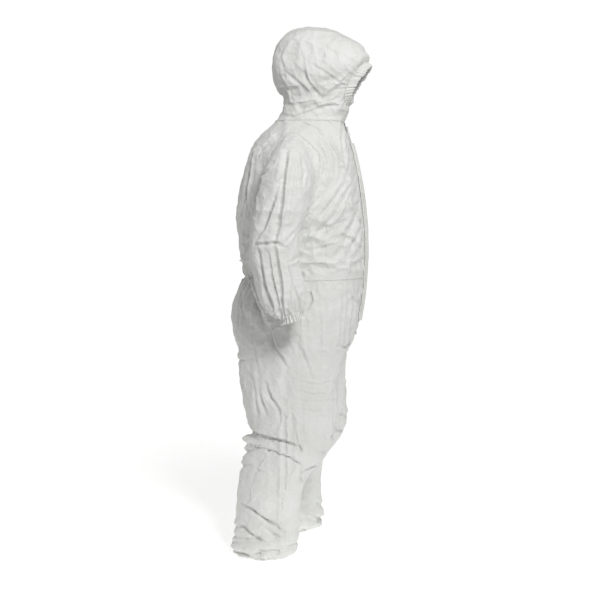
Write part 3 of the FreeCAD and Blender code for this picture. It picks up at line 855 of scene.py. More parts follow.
def layProfile(name, points, outward, closed):
    across = crossDirections(points, outward, closed)[1]
    steps = np.arange(len(points))
    sway = seam["wobble"] * (np.sin(steps * 0.23) + 0.6 * np.sin(steps * 0.071 + 1))
    rows = []
    for aside, up in seam["profile"]:
        rows.append(points + across * ((aside + sway) / 1000)[:, None] + outward * (up / 1000))
    return addPiece(name, stripMesh(name, np.stack(rows, axis=1), closed, True))


def addStitches(name, points, outward, stitch, closed):
    ahead, across = crossDirections(points, outward, closed)
    vertices, faces = [], []
    for row in stitch["rows"]:
        for i in range(len(points) - 1):
            centre = points[i] + across[i] * (row / 1000) + outward[i] * (stitch["up"] / 1000)
            slant = ahead[i] + across[i] * stitch["slant"]
            slant /= np.linalg.norm(slant)
            beside = np.cross(outward[i], slant)
            start = len(vertices)
            for t, size in ((-1, 0.45), (-0.5, 1), (0.5, 1), (1, 0.45)):
                for j in range(5):
                    turn = 2 * math.pi * j / 5
                    vertices.append(
                        centre + slant * (t * stitch["long"] / 2000)
                        + (beside * math.cos(turn) + outward[i] * math.sin(turn))
                        * (stitch["thick"] * size / 2000)
                    )
            for ring in range(3):
                for j in range(5):
                    k = (j + 1) % 5
                    low, high = start + ring * 5, start + ring * 5 + 5
                    faces.append((low + j, low + k, high + k, high + j))
            faces.append(tuple(start + j for j in (4, 3, 2, 1, 0)))
            faces.append(tuple(start + 15 + j for j in range(5)))
    return addPiece(name, smoothMesh(name, [tuple(v) for v in vertices], faces))


seam = {
    "profile": ((-3.2, -0.6), (-2.9, 0.7), (-1.4, 1.5), (0.4, 1.7), (2.2, 1.1), (2.8, -0.6)),
    "pitch": 3.0, "wobble": 0.25,
}
seamStitch = {"rows": (-1.3, 1.5), "up": 1.65, "slant": 0.25, "long": 2.5, "thick": 0.55}
trimPieces, threadPieces = [], []


def sewSeam(name, line, closed, mount):
    points, outward = evenLine(*line, seam["pitch"] / 1000, closed)
    points = soften(points, 2, closed)
    ridge = layProfile(name, points, outward, closed)
    thread = addStitches(name + "_stitches", points, outward, seamStitch, closed)
    for piece in (ridge, thread):
        mount(piece)
    trimPieces.append(ridge)
    threadPieces.append(thread)
    return ridge


def onTrunk(piece):
    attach(piece, "trunk")


def onNeck(piece):
    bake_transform(piece)


def fan(centre, first, second, degrees):
    turns = [math.radians(d) for d in degrees]
    return [centre] * len(turns), [first * math.cos(t) + second * math.sin(t) for t in turns]


print("stage: seams and stitches")
forwardWay, upWay, sideWay = Vector((0, -1, 0)), Vector((0, 0, 1)), Vector((1, 0, 0))
for side, word in sideNames.items():
    low, high = place(-201 * side, -8, 1123), place(-160 * side, -8, 1389)
    armhole = lookOut(*fan((low + high) / 2, forwardWay, (high - low).normalized(), range(0, 360, 3)))
    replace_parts(sewSeam("armhole_seam_" + word, armhole, True, onTrunk), word + "_armhole_seam")
    for part, top, bottom, joint in (
        ("thigh", 640, kneeUp + 3, ("trunk", word + "_thigh_body", hipUp - 5, 555)),
        ("shin", kneeUp + 3, 40, (word + "_thigh_body", word + "_shin", kneeUp - 6, 330)),
    ):
        heights = range(top, bottom, -6)
        ahead = footAhead(side)
        origins = [
            place(-np.interp(up, [0, 240, 480, 660], [146, 143, 120, 103]) * side,
                  np.interp(up, [0, 315, 480, 660], [-104, -46, -17, -23]) + ahead * (1 - up / 660), up)
            for up in heights
        ]
        line = lookOut(origins, [sideWay * side] * len(origins), 0.13)

        def onLeg(piece, joint=joint):
            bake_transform(piece)

        sewSeam("inseam_" + part + "_" + word, line, False, onLeg)
waistLine = lookOut(*fan(place(0, 0, waistUp), -forwardWay, sideWay, range(-174, 175, 2)))
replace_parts(sewSeam("waist_seam_ridge", waistLine, False, onTrunk), "waist_seam", "waist_elastic")
heights = range(690, 1425, 6)
backLine = lookOut([place(0, 0, up) for up in heights], [-forwardWay] * len(heights))
sewSeam("back_seam", backLine, False, onTrunk)
collarLine = lookOut(*fan(place(0, 25, 1434), -forwardWay, sideWay, range(-172, 173, 3)))
sewSeam("collar_seam", collarLine, False, onTrunk)
crown = lookOut(*fan(place(0, 55, 1600), -forwardWay, upWay, range(-62, 158, 2)))
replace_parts(sewSeam("hood_seam", crown, False, onNeck), "hood_centre_seam")

# Elastic edges: a gathered band inside each cuff and hem, and a ruffle that stands out of it

print("stage: elastic edges")


def thicken(piece, millimetres, offset):
    layers = piece.modifiers.new("two layers", "SOLIDIFY")
    layers.thickness = millimetres / 1000
    layers.offset = offset


def ruffle(name, centre, run, first, size, seed):
    turns = np.linspace(0, 2 * np.pi, size["around"], endpoint=False)
    run, first = np.array(run), np.array(first)
    second = np.cross(run, first)
    rows = []
    for reach, radius, wave in size["rows"]:
        pleat = gatherWave(turns * size["wide"], size["pitch"], seed) * wave
        tilt = np.sin(turns * 2 + seed) * size["drift"]
        tilt += np.sin(turns * 5 + 2 * seed) * size["drift"] * 0.5
        shape = 1 + size["oval"] * np.cos(2 * turns)
        out = ((radius * shape + pleat) / 1000)[:, None]
        ring = np.array(centre) + out * (np.cos(turns)[:, None] * first + np.sin(turns)[:, None] * second)
        rows.append(ring + run * ((reach + tilt * wave / 3) / 1000)[:, None])
    piece = addPiece(name, stripMesh(name, np.stack(rows, axis=1), True))
    thicken(piece, size["thick"], 0)
    rounder = piece.modifiers.new("soft folds", "SUBSURF")
    rounder.levels = 1
    bake(piece)
    return piece


wristRuffle = {
    "around": 260, "wide": 40, "pitch": 11, "drift": 1.5, "oval": 0.03, "thick": 0.9,
    "rows": (
        (-20, 38.5, 1.4), (-12, 37.4, 1.8), (-4, 36.4, 2.2), (1, 35.8, 2.4), (5, 36.6, 3.0),
        (9, 38.2, 3.8), (12, 38.9, 4.0), (13, 38.0, 3.6), (12, 36.8, 3.2), (8, 35.4, 2.6),
    ),
}
hemRuffle = {
    "around": 420, "wide": 60, "pitch": 27, "drift": 2.0, "oval": 0.03, "thick": 0.9,
    "rows": (
        (-26, 64, 1.0), (-16, 62, 1.4), (-8, 60, 1.8), (-3, 59.5, 2.0), (0, 61, 2.0),
        (1, 63, 1.8), (0, 65.5, 1.6), (-4, 67, 1.3), (-9, 67.5, 1.0),
    ),
}
edgePieces = []
for side, word in sideNames.items():
    centre, run = cuffFrame(side)
    first = Vector((1, 0, 0)).cross(run).cross(run).normalized()
    wrist = ruffle("wrist_ruffle_" + word, centre, run, first, wristRuffle, 2.0 + side)
    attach(wrist, word + "_forearm")
    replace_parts(wrist, word + "_wrist_elastic")
    ahead = footAhead(side)
    hemCentre = place(-146 * side, -102 + ahead, hemUp + 1)
    hem = ruffle("hem_ruffle_" + word, hemCentre, (0, 0, -1), (1, 0, 0), hemRuffle, 4.0 + side)
    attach(hem, word + "_shin")
    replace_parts(hem, word + "_ankle_elastic")
    edgePieces += [wrist, hem]


frillShape = {
    "around": 420, "pitch": 11, "girth": 68, "beyond": 2.5, "pleat": 0.45, "thick": 0.8,
    "rows": (
        (6, -0.4, 0.2), (4, 1.0, 0.8), (2, 2.6, 1.4), (0, 5.0, 1.9), (-3, 8.5, 2.5), (-6, 11.5, 2.9),
        (-8, 12.4, 2.9), (-9, 11.2, 2.6), (-8, 8.0, 2.2), (-6, 4.0, 1.8), (-5, -2.0, 1.4),
    ),
}


def faceFrill():
    turns = np.linspace(0, 2 * np.pi, frillShape["around"], endpoint=False)
    cosine, sine = np.cos(turns), np.sin(turns)
    power = 2 / faceHole["square"]
    x = np.sign(cosine) * np.abs(cosine) ** power
    up = np.sign(sine) * np.abs(sine) ** power
    wide, tall = faceHole["wide"] + frillShape["beyond"], faceHole["tall"] + frillShape["beyond"]
    origins = [place(aside * wide, 20, faceHole["up"] + rise * tall) for aside, rise in zip(x, up)]
    edge = []
    for origin in origins:
        hit = skinTree.ray_cast(origin, forwardWay, 0.4)[0]
        edge.append(hit.y * 1000 if hit else edge[-1])
    edge = soften(np.array(edge), 8, True)
    rows = []
    for share, ahead, wave in frillShape["rows"]:
        pleats = gatherWave(turns * frillShape["girth"], frillShape["pitch"], 2.0)
        pleat = pleats * wave * frillShape["pleat"]
        stand = ahead * (1 + np.abs(cosine) ** 1.5 * max(0, ahead - 2) / 7)
        wideX = (faceHole["wide"] + share + pleat * 0.7) * x
        tallUp = faceHole["up"] + (faceHole["tall"] + share + pleat * 0.7) * up
        rearward = edge - stand - pleat * 0.5
        rows.append(np.stack([wideX, rearward, tallUp - shoulderLine], axis=1) / 1000)
    piece = addPiece("face_frill", stripMesh("face_frill", np.stack(rows, axis=1), True))
    thicken(piece, frillShape["thick"], 0)
    bake(piece)
    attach(piece, "hood")
    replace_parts(piece, "hood_face_elastic")
    return piece


edgePieces.append(faceFrill())

# Closure: the flap, its adhesive strip, and the coil's turns. Tapes, slider and pull are the CAD's own


def onClosure(x, out, up):
    turn = (up - closureArc["up"]) / closureArc["radius"]
    radius = closureArc["radius"] + out
    forward, height = radius * math.cos(turn), radius * math.sin(turn)
    return place(x, closureArc["forward"] + forward, closureArc["up"] + height)


def arcHeight(up):
    radius = closureArc["radius"]
    return math.asin((up - closureArc["up"]) / radius) * radius + closureArc["up"]


print("stage: closure")
flap = {
    "low": 766, "high": 1360, "rows": 200,
    "cross": (
        (31.5, 0.5), (31.8, 1.5), (30, 2.6), (27, 4.2), (24, 6.0), (20, 7.2), (14, 7.7), (8, 7.9),
        (2, 7.9), (-4, 7.9), (-10, 7.8), (-16, 7.4), (-21, 6.4), (-24, 4.6), (-26, 2.8), (-26.6, 1.9),
        (-26, 1.4), (-24.4, 1.8), (-22, 3.4), (-19, 5.2), (-14, 6.5), (-8, 6.9), (0, 7.0), (8, 6.9),
        (14, 6.8), (20, 6.2), (24, 4.8), (27, 3.0), (30, 1.2),
    ),
}


def flapRipple(x, up):
    broad = noise.noise(Vector((x / 30, up / 42, 3.0))) * 0.9
    return broad + noise.noise(Vector((x / 14, up / 17, 8.0))) * 0.45


def flapMesh():
    rows = []
    for i in range(flap["rows"] + 1):
        t = i / flap["rows"]
        up = flap["low"] + (flap["high"] - flap["low"]) * t
        arcUp = arcHeight(up)
        row = []
        for x, out in flap["cross"]:
            lift = flapRipple(x, up) * min(1, max(0, out - 1.2) / 4)
            drift = noise.noise(Vector((0.3, up / 60, 5.0))) * 0.8 * (abs(x) / 26)
            corner = onClosure(x + drift, out + lift * 0.9, arcUp)
            edge = min(1.0, max(0.0, (abs(x) - 14) / 10))
            ground = skinTree.ray_cast(place(x + drift, 400, up), -forwardWay, 0.6)[0]
            if ground and edge:
                corner.y += (ground.y - out / 1000 - corner.y) * edge * edge * (3 - 2 * edge)
            row.append(corner)
        rows.append(row)
    for row, away in ((rows[0], rows[1]), (rows[-1], rows[-2])):
        middle = sum(row, Vector()) / len(row)
        for i, corner in enumerate(row):
            row[i] = corner + (middle - corner) * 0.02
    rows = np.array([[tuple(p) for p in row] for row in rows])
    mesh = stripMesh("storm_flap_cloth", rows, False, True)
    work = bmesh.new()
    work.from_mesh(mesh)
    wide = len(flap["cross"])
    work.verts.ensure_lookup_table()
    for start in (0, flap["rows"] * wide):
        corners = [work.verts[start + i] for i in range(wide)]
        half = wide // 2
        for i in range(half):
            quad = [corners[i], corners[i + 1], corners[wide - 2 - i], corners[wide - 1 - i]]
            if len(set(quad)) > 2:
                work.faces.new(list(dict.fromkeys(quad)))
    bmesh.ops.recalc_face_normals(work, faces=work.faces)
    work.to_mesh(mesh)
    work.free()
    return mesh


flapPiece = addPiece("storm_flap_cloth", flapMesh())
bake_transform(flapPiece)
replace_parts(flapPiece, "storm_flap", "flap_stitched_edge")
heights = range(flap["low"] + 4, flap["high"] - 3, 3)
flapLine = np.array([tuple(onClosure(28.6, 3.3, up)) for up in heights])
flapOut = np.array([tuple((onClosure(34, 20, up) - onClosure(28.6, 3, up)).normalized()) for up in heights])
flatStitch = {"rows": (0.0,), "up": 0.3, "slant": 0.0, "long": 2.4, "thick": 0.5}
flapStitch = addStitches("flap_stitches", flapLine, flapOut, flatStitch, False)
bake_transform(flapStitch)
threadPieces.append(flapStitch)

liner = {
    "low": 772, "high": 1354, "rows": 150, "thick": 0.35,
    "cross": ((-15, 6.0), (-17, 5.5), (-19, 4.9), (-21.5, 3.7), (-23.5, 2.3)),
}


def linerMesh():
    rows = []
    for i in range(liner["rows"]):
        up = liner["low"] + (liner["high"] - liner["low"]) * i / (liner["rows"] - 1)
        arcUp = arcHeight(up)
        curl = 0.25 * noise.noise(Vector((1.0, up / 24, 2.0)))
        row = []
        for x, out in liner["cross"]:
            row.append(tuple(onClosure(x, out + curl, arcUp)))
        rows.append(row)
    return stripMesh("adhesive_liner_strip", np.array(rows), False)


linerPiece = addPiece("adhesive_liner_strip", linerMesh())
thicken(linerPiece, liner["thick"], -1)
bake(linerPiece)
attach(linerPiece, "storm_flap")
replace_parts(linerPiece, "flap_adhesive_strip")

coil = {"pitch": 1.3, "long": 2.7, "radius": 0.46, "low": 763, "high": 1423}


def coilMesh(name, side):
    vertices, faces = [], []
    steps = int((coil["high"] - coil["low"]) / coil["pitch"])
    for i in range(steps):
        arcUp = coil["low"] + coil["pitch"] * (i + (0.5 if side > 0 else 0))
        inner = 0.25 * side
        start = len(vertices)
        for j in range(6):
            t = j / 5
            x = -(inner + side * coil["long"] * t)
            swell = coil["radius"] * (1.25 if j == 0 else 1) * (0.6 if j in (0, 5) else 1)
            for k in range(6):
                turn = 2 * math.pi * k / 6
                out = 0.1 + 0.5 * math.sin(math.pi * t) + math.cos(turn) * swell
                vertices.append(tuple(onClosure(x, out, arcUp + math.sin(turn) * swell + t * 0.3)))
        for j in range(5):
            for k in range(6):
                m = (k + 1) % 6
                low, high = start + j * 6, start + j * 6 + 6
                faces.append((low + k, low + m, high + m, high + k))
        faces.append(tuple(start + k for k in range(6)))
        faces.append(tuple(start + 30 + k for k in (5, 4, 3, 2, 1, 0)))
    return smoothMesh(name, vertices, faces)


coilPieces = []
for side, word in sideNames.items():
    piece = addPiece("coil_turns_" + word, coilMesh("coil_turns_" + word, side))
    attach(piece, "trunk")
    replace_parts(piece, "zip_coil_" + word)
    coilPieces.append(piece)

# Materials


def startMaterial(name):
    material = bpy.data.materials.new(name)
    material.use_nodes = True
    material.node_tree.nodes.clear()
    return material, material.node_tree.nodes, material.node_tree.links


def nonwovenMaterial(name, look):
    material, nodes, links = startMaterial(name)
    where = nodes.new("ShaderNodeAttribute")
    where.label, where.location = "place on the cloth at rest", (-1900, 0)
    where.attribute_name = "rest"

    toneFrame = nodes.new("NodeFrame")
    toneFrame.label = "warm white, a little uneven"
    clouds = nodes.new("ShaderNodeTexNoise")
    clouds.label, clouds.location = "thick and thin web", (-1500, 700)
    clouds.inputs["Scale"].default_value = 11
    clouds.inputs["Detail"].default_value = 5
    swirl = nodes.new("ShaderNodeTexNoise")
    swirl.label, swirl.location = "fibre swirl", (-1500, 450)
    swirl.inputs["Scale"].default_value = look["fibre"] * 0.4
    swirl.inputs["Detail"].default_value = 6
    swirl.inputs["Distortion"].default_value = 1.4
    tone = nodes.new("ShaderNodeValToRGB")
    tone.label, tone.location = "web colour", (-1250, 700)
    tone.color_ramp.elements[0].position, tone.color_ramp.elements[1].position = 0.3, 0.72
    tone.color_ramp.elements[0].color = (*look["dull"], 1)
    tone.color_ramp.elements[1].color = (*look["clean"], 1)
    fleck = nodes.new("ShaderNodeMapRange")
    fleck.label, fleck.location = "fibre contrast", (-1250, 450)
    fleck.inputs["From Min"].default_value, fleck.inputs["From Max"].default_value = 0.3, 0.7
    fleck.inputs["To Min"].default_value = 1 - look["contrast"]
    fleck.inputs["To Max"].default_value = 1.0
    colour = nodes.new("ShaderNodeMix")
    colour.label, colour.location = "fibres on the web", (-950, 600)
    colour.data_type, colour.blend_type = "RGBA", "MULTIPLY"
    colour.inputs["Factor"].default_value = 1.0
    for node in (clouds, swirl, tone, fleck, colour):
        node.parent = toneFrame

    creaseFrame = nodes.new("NodeFrame")
    creaseFrame.label = "papery creases"
    warp = nodes.new("ShaderNodeTexNoise")
    warp.label, warp.location = "bend the crease lines", (-1700, -50)
    warp.inputs["Scale"].default_value = 18
    bent = nodes.new("ShaderNodeVectorMath")
    bent.label, bent.location = "bent place", (-1500, -50)
    bent.operation = "MULTIPLY_ADD"
    bent.inputs[1].default_value = (0.03, 0.03, 0.03)
    crush = nodes.new("ShaderNodeTexNoise")
    crush.label, crush.location = "crushed ridges", (-1250, 50)
    crush.noise_type = "RIDGED_MULTIFRACTAL"
    crush.inputs["Scale"].default_value = look["crush"]
    crush.inputs["Detail"].default_value = 3
    facet = nodes.new("ShaderNodeTexVoronoi")
    facet.label, facet.location = "sharp facets", (-1250, -200)
    facet.feature = "DISTANCE_TO_EDGE"
    facet.inputs["Scale"].default_value = look["facet"]
    facetEdge = nodes.new("ShaderNodeMapRange")
    facetEdge.label, facetEdge.location = "crease profile", (-1050, -200)
    facetEdge.interpolation_type = "SMOOTHSTEP"
    facetEdge.inputs["From Max"].default_value = 0.16
    smallFacet = nodes.new("ShaderNodeTexVoronoi")
    smallFacet.label, smallFacet.location = "small facets", (-1250, -450)
    smallFacet.feature = "DISTANCE_TO_EDGE"
    smallFacet.inputs["Scale"].default_value = look["facet"] * 2.7
    crushBump = nodes.new("ShaderNodeBump")
    crushBump.label, crushBump.location = "crushed relief", (-800, 50)
    crushBump.inputs["Strength"].default_value = look["crushDepth"]
    crushBump.inputs["Distance"].default_value = 0.004
    facetBump = nodes.new("ShaderNodeBump")
    facetBump.label, facetBump.location = "crease relief", (-600, -50)
    facetBump.inputs["Strength"].default_value = look["facetDepth"]
    facetBump.inputs["Distance"].default_value = 0.0012
    smallBump = nodes.new("ShaderNodeBump")
    smallBump.label, smallBump.location = "small crease relief", (-400, -150)
    smallBump.inputs["Strength"].default_value = look["facetDepth"] * 0.7
    smallBump.inputs["Distance"].default_value = 0.0009
    for node in (warp, bent, crush, facet, facetEdge, smallFacet, crushBump, facetBump, smallBump):
        node.parent = creaseFrame

    fibreFrame = nodes.new("NodeFrame")
    fibreFrame.label = "bond dots and fibres"
    dots = nodes.new("ShaderNodeTexVoronoi")
    dots.label, dots.location = "bond dots", (-1250, -750)
    dots.feature = "SMOOTH_F1"
    dots.inputs["Scale"].default_value = look["dots"]
    dots.inputs["Randomness"].default_value = 0.35
    fibres = nodes.new("ShaderNodeTexNoise")
    fibres.label, fibres.location = "loose fibres", (-1250, -1000)
    fibres.inputs["Scale"].default_value = look["fibre"]
    fibres.inputs["Detail"].default_value = 5
    fibres.inputs["Distortion"].default_value = 2.2
    dotBump = nodes.new("ShaderNodeBump")
    dotBump.label, dotBump.location = "pressed dots", (-250, -400)
    dotBump.inputs["Strength"].default_value = 0.35
    dotBump.inputs["Distance"].default_value = 0.00025
    fibreBump = nodes.new("ShaderNodeBump")
    fibreBump.label, fibreBump.location = "fibre relief", (-50, -400)
    fibreBump.inputs["Strength"].default_value = 0.4
    fibreBump.inputs["Distance"].default_value = 0.0002
    shine = nodes.new("ShaderNodeMapRange")
    shine.label, shine.location = "film shows between fibres", (-400, 300)
    shine.inputs["To Min"].default_value = look["rough"] - 0.09
    shine.inputs["To Max"].default_value = look["rough"] + 0.09
    for node in (dots, fibres, dotBump, fibreBump, shine):
        node.parent = fibreFrame

    cloth = nodes.new("ShaderNodeBsdfPrincipled")
    cloth.label, cloth.location = "laminated nonwoven", (200, 200)
    cloth.inputs["Sheen Weight"].default_value = 0.12
    cloth.inputs["Sheen Roughness"].default_value = 0.5
    cloth.inputs["Specular IOR Level"].default_value = 0.38
    out = nodes.new("ShaderNodeOutputMaterial")
    out.location = (500, 200)
    links.new(where.outputs["Vector"], clouds.inputs["Vector"])
    links.new(where.outputs["Vector"], swirl.inputs["Vector"])
    links.new(clouds.outputs["Fac"], tone.inputs["Fac"])
    links.new(swirl.outputs["Fac"], fleck.inputs["Value"])
    links.new(tone.outputs["Color"], colour.inputs["A"])
    links.new(fleck.outputs["Result"], colour.inputs["B"])
    links.new(where.outputs["Vector"], warp.inputs["Vector"])
    links.new(warp.outputs["Color"], bent.inputs[0])
    links.new(where.outputs["Vector"], bent.inputs[2])
    links.new(bent.outputs["Vector"], crush.inputs["Vector"])
    links.new(bent.outputs["Vector"], facet.inputs["Vector"])
    links.new(bent.outputs["Vector"], smallFacet.inputs["Vector"])
    links.new(facet.outputs["Distance"], facetEdge.inputs["Value"])
    links.new(crush.outputs["Fac"], crushBump.inputs["Height"])
    links.new(facetEdge.outputs["Result"], facetBump.inputs["Height"])
    links.new(crushBump.outputs["Normal"], facetBump.inputs["Normal"])
    links.new(smallFacet.outputs["Distance"], smallBump.inputs["Height"])
    links.new(facetBump.outputs["Normal"], smallBump.inputs["Normal"])
    links.new(where.outputs["Vector"], dots.inputs["Vector"])
    links.new(where.outputs["Vector"], fibres.inputs["Vector"])
    links.new(dots.outputs["Distance"], dotBump.inputs["Height"])
    links.new(smallBump.outputs["Normal"], dotBump.inputs["Normal"])
    links.new(fibres.outputs["Fac"], fibreBump.inputs["Height"])
    links.new(dotBump.outputs["Normal"], fibreBump.inputs["Normal"])
    links.new(fibres.outputs["Fac"], shine.inputs["Value"])
    links.new(colour.outputs["Result"], cloth.inputs["Base Color"])
    links.new(shine.outputs["Result"], cloth.inputs["Roughness"])
    links.new(fibreBump.outputs["Normal"], cloth.inputs["Normal"])
    links.new(cloth.outputs["BSDF"], out.inputs["Surface"])
    return material


def threadMaterial(name, look):
    material, nodes, links = startMaterial(name)
    where = nodes.new("ShaderNodeTexCoord")
    where.label, where.location = "place along the yarn", (-900, 0)
    yarnFrame = nodes.new("NodeFrame")
    yarnFrame.label = "twisted or woven yarn"
    twist = nodes.new("ShaderNodeTexWave")
    twist.label, twist.location = "twist of the yarn", (-650, 150)
    twist.bands_direction = "DIAGONAL"
    twist.inputs["Scale"].default_value = look["twist"]
    twist.inputs["Distortion"].default_value = 1.2
    lint = nodes.new("ShaderNodeTexNoise")
    lint.label, lint.location = "lint", (-650, -150)
    lint.inputs["Scale"].default_value = look["twist"] * 1.7
    tone = nodes.new("ShaderNodeValToRGB")
    tone.label, tone.location = "yarn colour", (-400, 150)
    tone.color_ramp.elements[0].color = (*look["dull"], 1)
    tone.color_ramp.elements[1].color = (*look["clean"], 1)
    shine = nodes.new("ShaderNodeMapRange")
    shine.label, shine.location = "worn shine", (-400, -150)
    shine.inputs["To Min"].default_value, shine.inputs["To Max"].default_value = 0.5, 0.75
    relief = nodes.new("ShaderNodeBump")
    relief.label, relief.location = "strands", (-200, -300)
    relief.inputs["Strength"].default_value = 0.5
    relief.inputs["Distance"].default_value = look["relief"]
    for node in (twist, lint, tone, shine, relief):
        node.parent = yarnFrame
    yarn = nodes.new("ShaderNodeBsdfPrincipled")
    yarn.label, yarn.location = "polyester yarn", (50, 0)
    yarn.inputs["Sheen Weight"].default_value = 0.2
    out = nodes.new("ShaderNodeOutputMaterial")
    out.location = (350, 0)
    links.new(where.outputs["Object"], twist.inputs["Vector"])
    links.new(where.outputs["Object"], lint.inputs["Vector"])
    links.new(twist.outputs["Fac"], tone.inputs["Fac"])
    links.new(lint.outputs["Fac"], shine.inputs["Value"])
    links.new(twist.outputs["Fac"], relief.inputs["Height"])
    links.new(tone.outputs["Color"], yarn.inputs["Base Color"])
    links.new(shine.outputs["Result"], yarn.inputs["Roughness"])
    links.new(relief.outputs["Normal"], yarn.inputs["Normal"])
    links.new(yarn.outputs["BSDF"], out.inputs["Surface"])
    return material


def hardTrimMaterial(name, look):
    material, nodes, links = startMaterial(name)
    where = nodes.new("ShaderNodeTexCoord")
    where.label, where.location = "place on the part", (-1000, 0)
    skinFrame = nodes.new("NodeFrame")
    skinFrame.label = "moulded or enamelled skin"
    haze = nodes.new("ShaderNodeTexNoise")
    haze.label, haze.location = "haze", (-750, 200)
    haze.inputs["Scale"].default_value = 160
    haze.inputs["Detail"].default_value = 4
    tone = nodes.new("ShaderNodeValToRGB")
    tone.label, tone.location = "slightly uneven white", (-500, 250)
    tone.color_ramp.elements[0].color = (*look["dull"], 1)
    tone.color_ramp.elements[1].color = (*look["clean"], 1)
    scuff = nodes.new("ShaderNodeTexNoise")
    scuff.label, scuff.location = "fine scuffs", (-750, -100)
    scuff.inputs["Scale"].default_value = 900
    scuff.inputs["Distortion"].default_value = 3
    shine = nodes.new("ShaderNodeMapRange")
    shine.label, shine.location = "scuffed shine", (-500, -100)
    shine.inputs["To Min"].default_value = look["rough"] - 0.07
    shine.inputs["To Max"].default_value = look["rough"] + 0.12
    relief = nodes.new("ShaderNodeBump")
    relief.label, relief.location = "orange peel", (-300, -300)
    relief.inputs["Strength"].default_value = 0.2
    relief.inputs["Distance"].default_value = 0.00008
    for node in (haze, tone, scuff, shine, relief):
        node.parent = skinFrame
    skin = nodes.new("ShaderNodeBsdfPrincipled")
    skin.label, skin.location = look["made"], (0, 0)
    skin.inputs["Coat Weight"].default_value = look["coat"]
    out = nodes.new("ShaderNodeOutputMaterial")
    out.location = (300, 0)
    links.new(where.outputs["Object"], haze.inputs["Vector"])
    links.new(where.outputs["Object"], scuff.inputs["Vector"])
    links.new(haze.outputs["Fac"], tone.inputs["Fac"])
    links.new(scuff.outputs["Fac"], shine.inputs["Value"])
    links.new(scuff.outputs["Fac"], relief.inputs["Height"])
    links.new(tone.outputs["Color"], skin.inputs["Base Color"])
    links.new(shine.outputs["Result"], skin.inputs["Roughness"])
    links.new(relief.outputs["Normal"], skin.inputs["Normal"])
    links.new(skin.outputs["BSDF"], out.inputs["Surface"])
    return material


print("stage: materials")
suitLook = {
    "clean": (0.755, 0.762, 0.738), "dull": (0.690, 0.696, 0.668), "contrast": 0.06, "rough": 0.68,
    "fibre": 620, "dots": 560, "crush": 15, "crushDepth": 0.55, "facet": 34, "facetDepth": 0.5,
}
flapLook = {**suitLook, "crushDepth": 0.35, "clean": (0.765, 0.77, 0.745)}
seamLook = {
    **suitLook, "crushDepth": 0.2, "facetDepth": 0.35,
    "clean": (0.72, 0.726, 0.70), "dull": (0.66, 0.666, 0.64),
}
suitCloth = nonwovenMaterial("white nonwoven", suitLook)
flapCloth = nonwovenMaterial("folded nonwoven", flapLook)
seamTape = nonwovenMaterial("bound seam", seamLook)
yarn = threadMaterial("sewing thread", {
    "dull": (0.60, 0.60, 0.57), "clean": (0.78, 0.78, 0.75), "twist": 1400, "relief": 0.0001})
tapeCloth = threadMaterial("zip tape weave", {
    "dull": (0.56, 0.565, 0.55), "clean": (0.70, 0.705, 0.69), "twist": 620, "relief": 0.0003})
nylon = hardTrimMaterial("nylon coil", {
    "made": "satin nylon", "dull": (0.66, 0.665, 0.65), "clean": (0.75, 0.755, 0.74),
    "rough": 0.38, "coat": 0.0})
enamel = hardTrimMaterial("white enamel", {
    "made": "enamelled zinc", "dull": (0.70, 0.705, 0.70), "clean": (0.78, 0.785, 0.775),
    "rough": 0.3, "coat": 0.35})
waxedPaper = hardTrimMaterial("release paper", {
    "made": "waxed paper", "dull": (0.70, 0.70, 0.64), "clean": (0.78, 0.78, 0.72),
    "rough": 0.45, "coat": 0.1})


def dress(pieces, material):
    for piece in pieces:
        rest = piece.data.attributes.new("rest", "FLOAT_VECTOR", "POINT")
        rest.data.foreach_set("vector", meshArrays(piece)[0].ravel())
        piece.data.materials.clear()
        piece.data.materials.append(material)


dress(allCloth, suitCloth)
dress(edgePieces, suitCloth)
dress([flapPiece], flapCloth)
dress(trimPieces, seamTape)
dress(threadPieces, yarn)
dress(coilPieces, nylon)
dress([linerPiece], waxedPaper)
carried = {
    "zip_tape_right": tapeCloth, "zip_tape_left": tapeCloth, "zip_stops": nylon,
    "zip_slider": enamel, "zip_pull": enamel, "zip_pull_pin": enamel,
}
for node, material in carried.items():
    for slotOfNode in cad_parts[node].material_slots:
        slotOfNode.material = material

# Camera, light and floor


def areaLight(name, at, aim, size, power):
    light = bpy.data.lights.new(name, "AREA")
    light.shape = "RECTANGLE"
    light.size, light.size_y = size
    light.energy = power
    lamp = bpy.data.objects.new(name, light)
    lamp.location = place(*at)
    lamp.rotation_euler = (place(*aim) - place(*at)).to_track_quat("-Z", "Y").to_euler()
    bpy.context.scene.collection.objects.link(lamp)


cameraSetup = {"lens": 63.3, "distance": 3600, "azimuth": 276, "height": 1220, "aim": (0, 0, 830)}
camera = bpy.data.objects.new("camera", bpy.data.cameras.new("camera"))
camera.data.lens = cameraSetup["lens"]
camera.data.sensor_width = 36
turn = math.radians(cameraSetup["azimuth"])
camera.location = place(
    cameraSetup["distance"] * math.sin(turn), cameraSetup["distance"] * math.cos(turn), cameraSetup["height"]
)
camera.rotation_euler = (place(*cameraSetup["aim"]) - camera.location).to_track_quat("-Z", "Y").to_euler()
bpy.context.scene.collection.objects.link(camera)
bpy.context.scene.camera = camera

studio = {
    "floorSize": 9.0, "floorFade": (0.7, 1.9), "floorShade": 0.93, "floorGlow": 0.5,
    "softLight": 0.33, "seenWhite": 1.02, "keyPower": 78, "rimPower": 5, "backPower": 22,
}

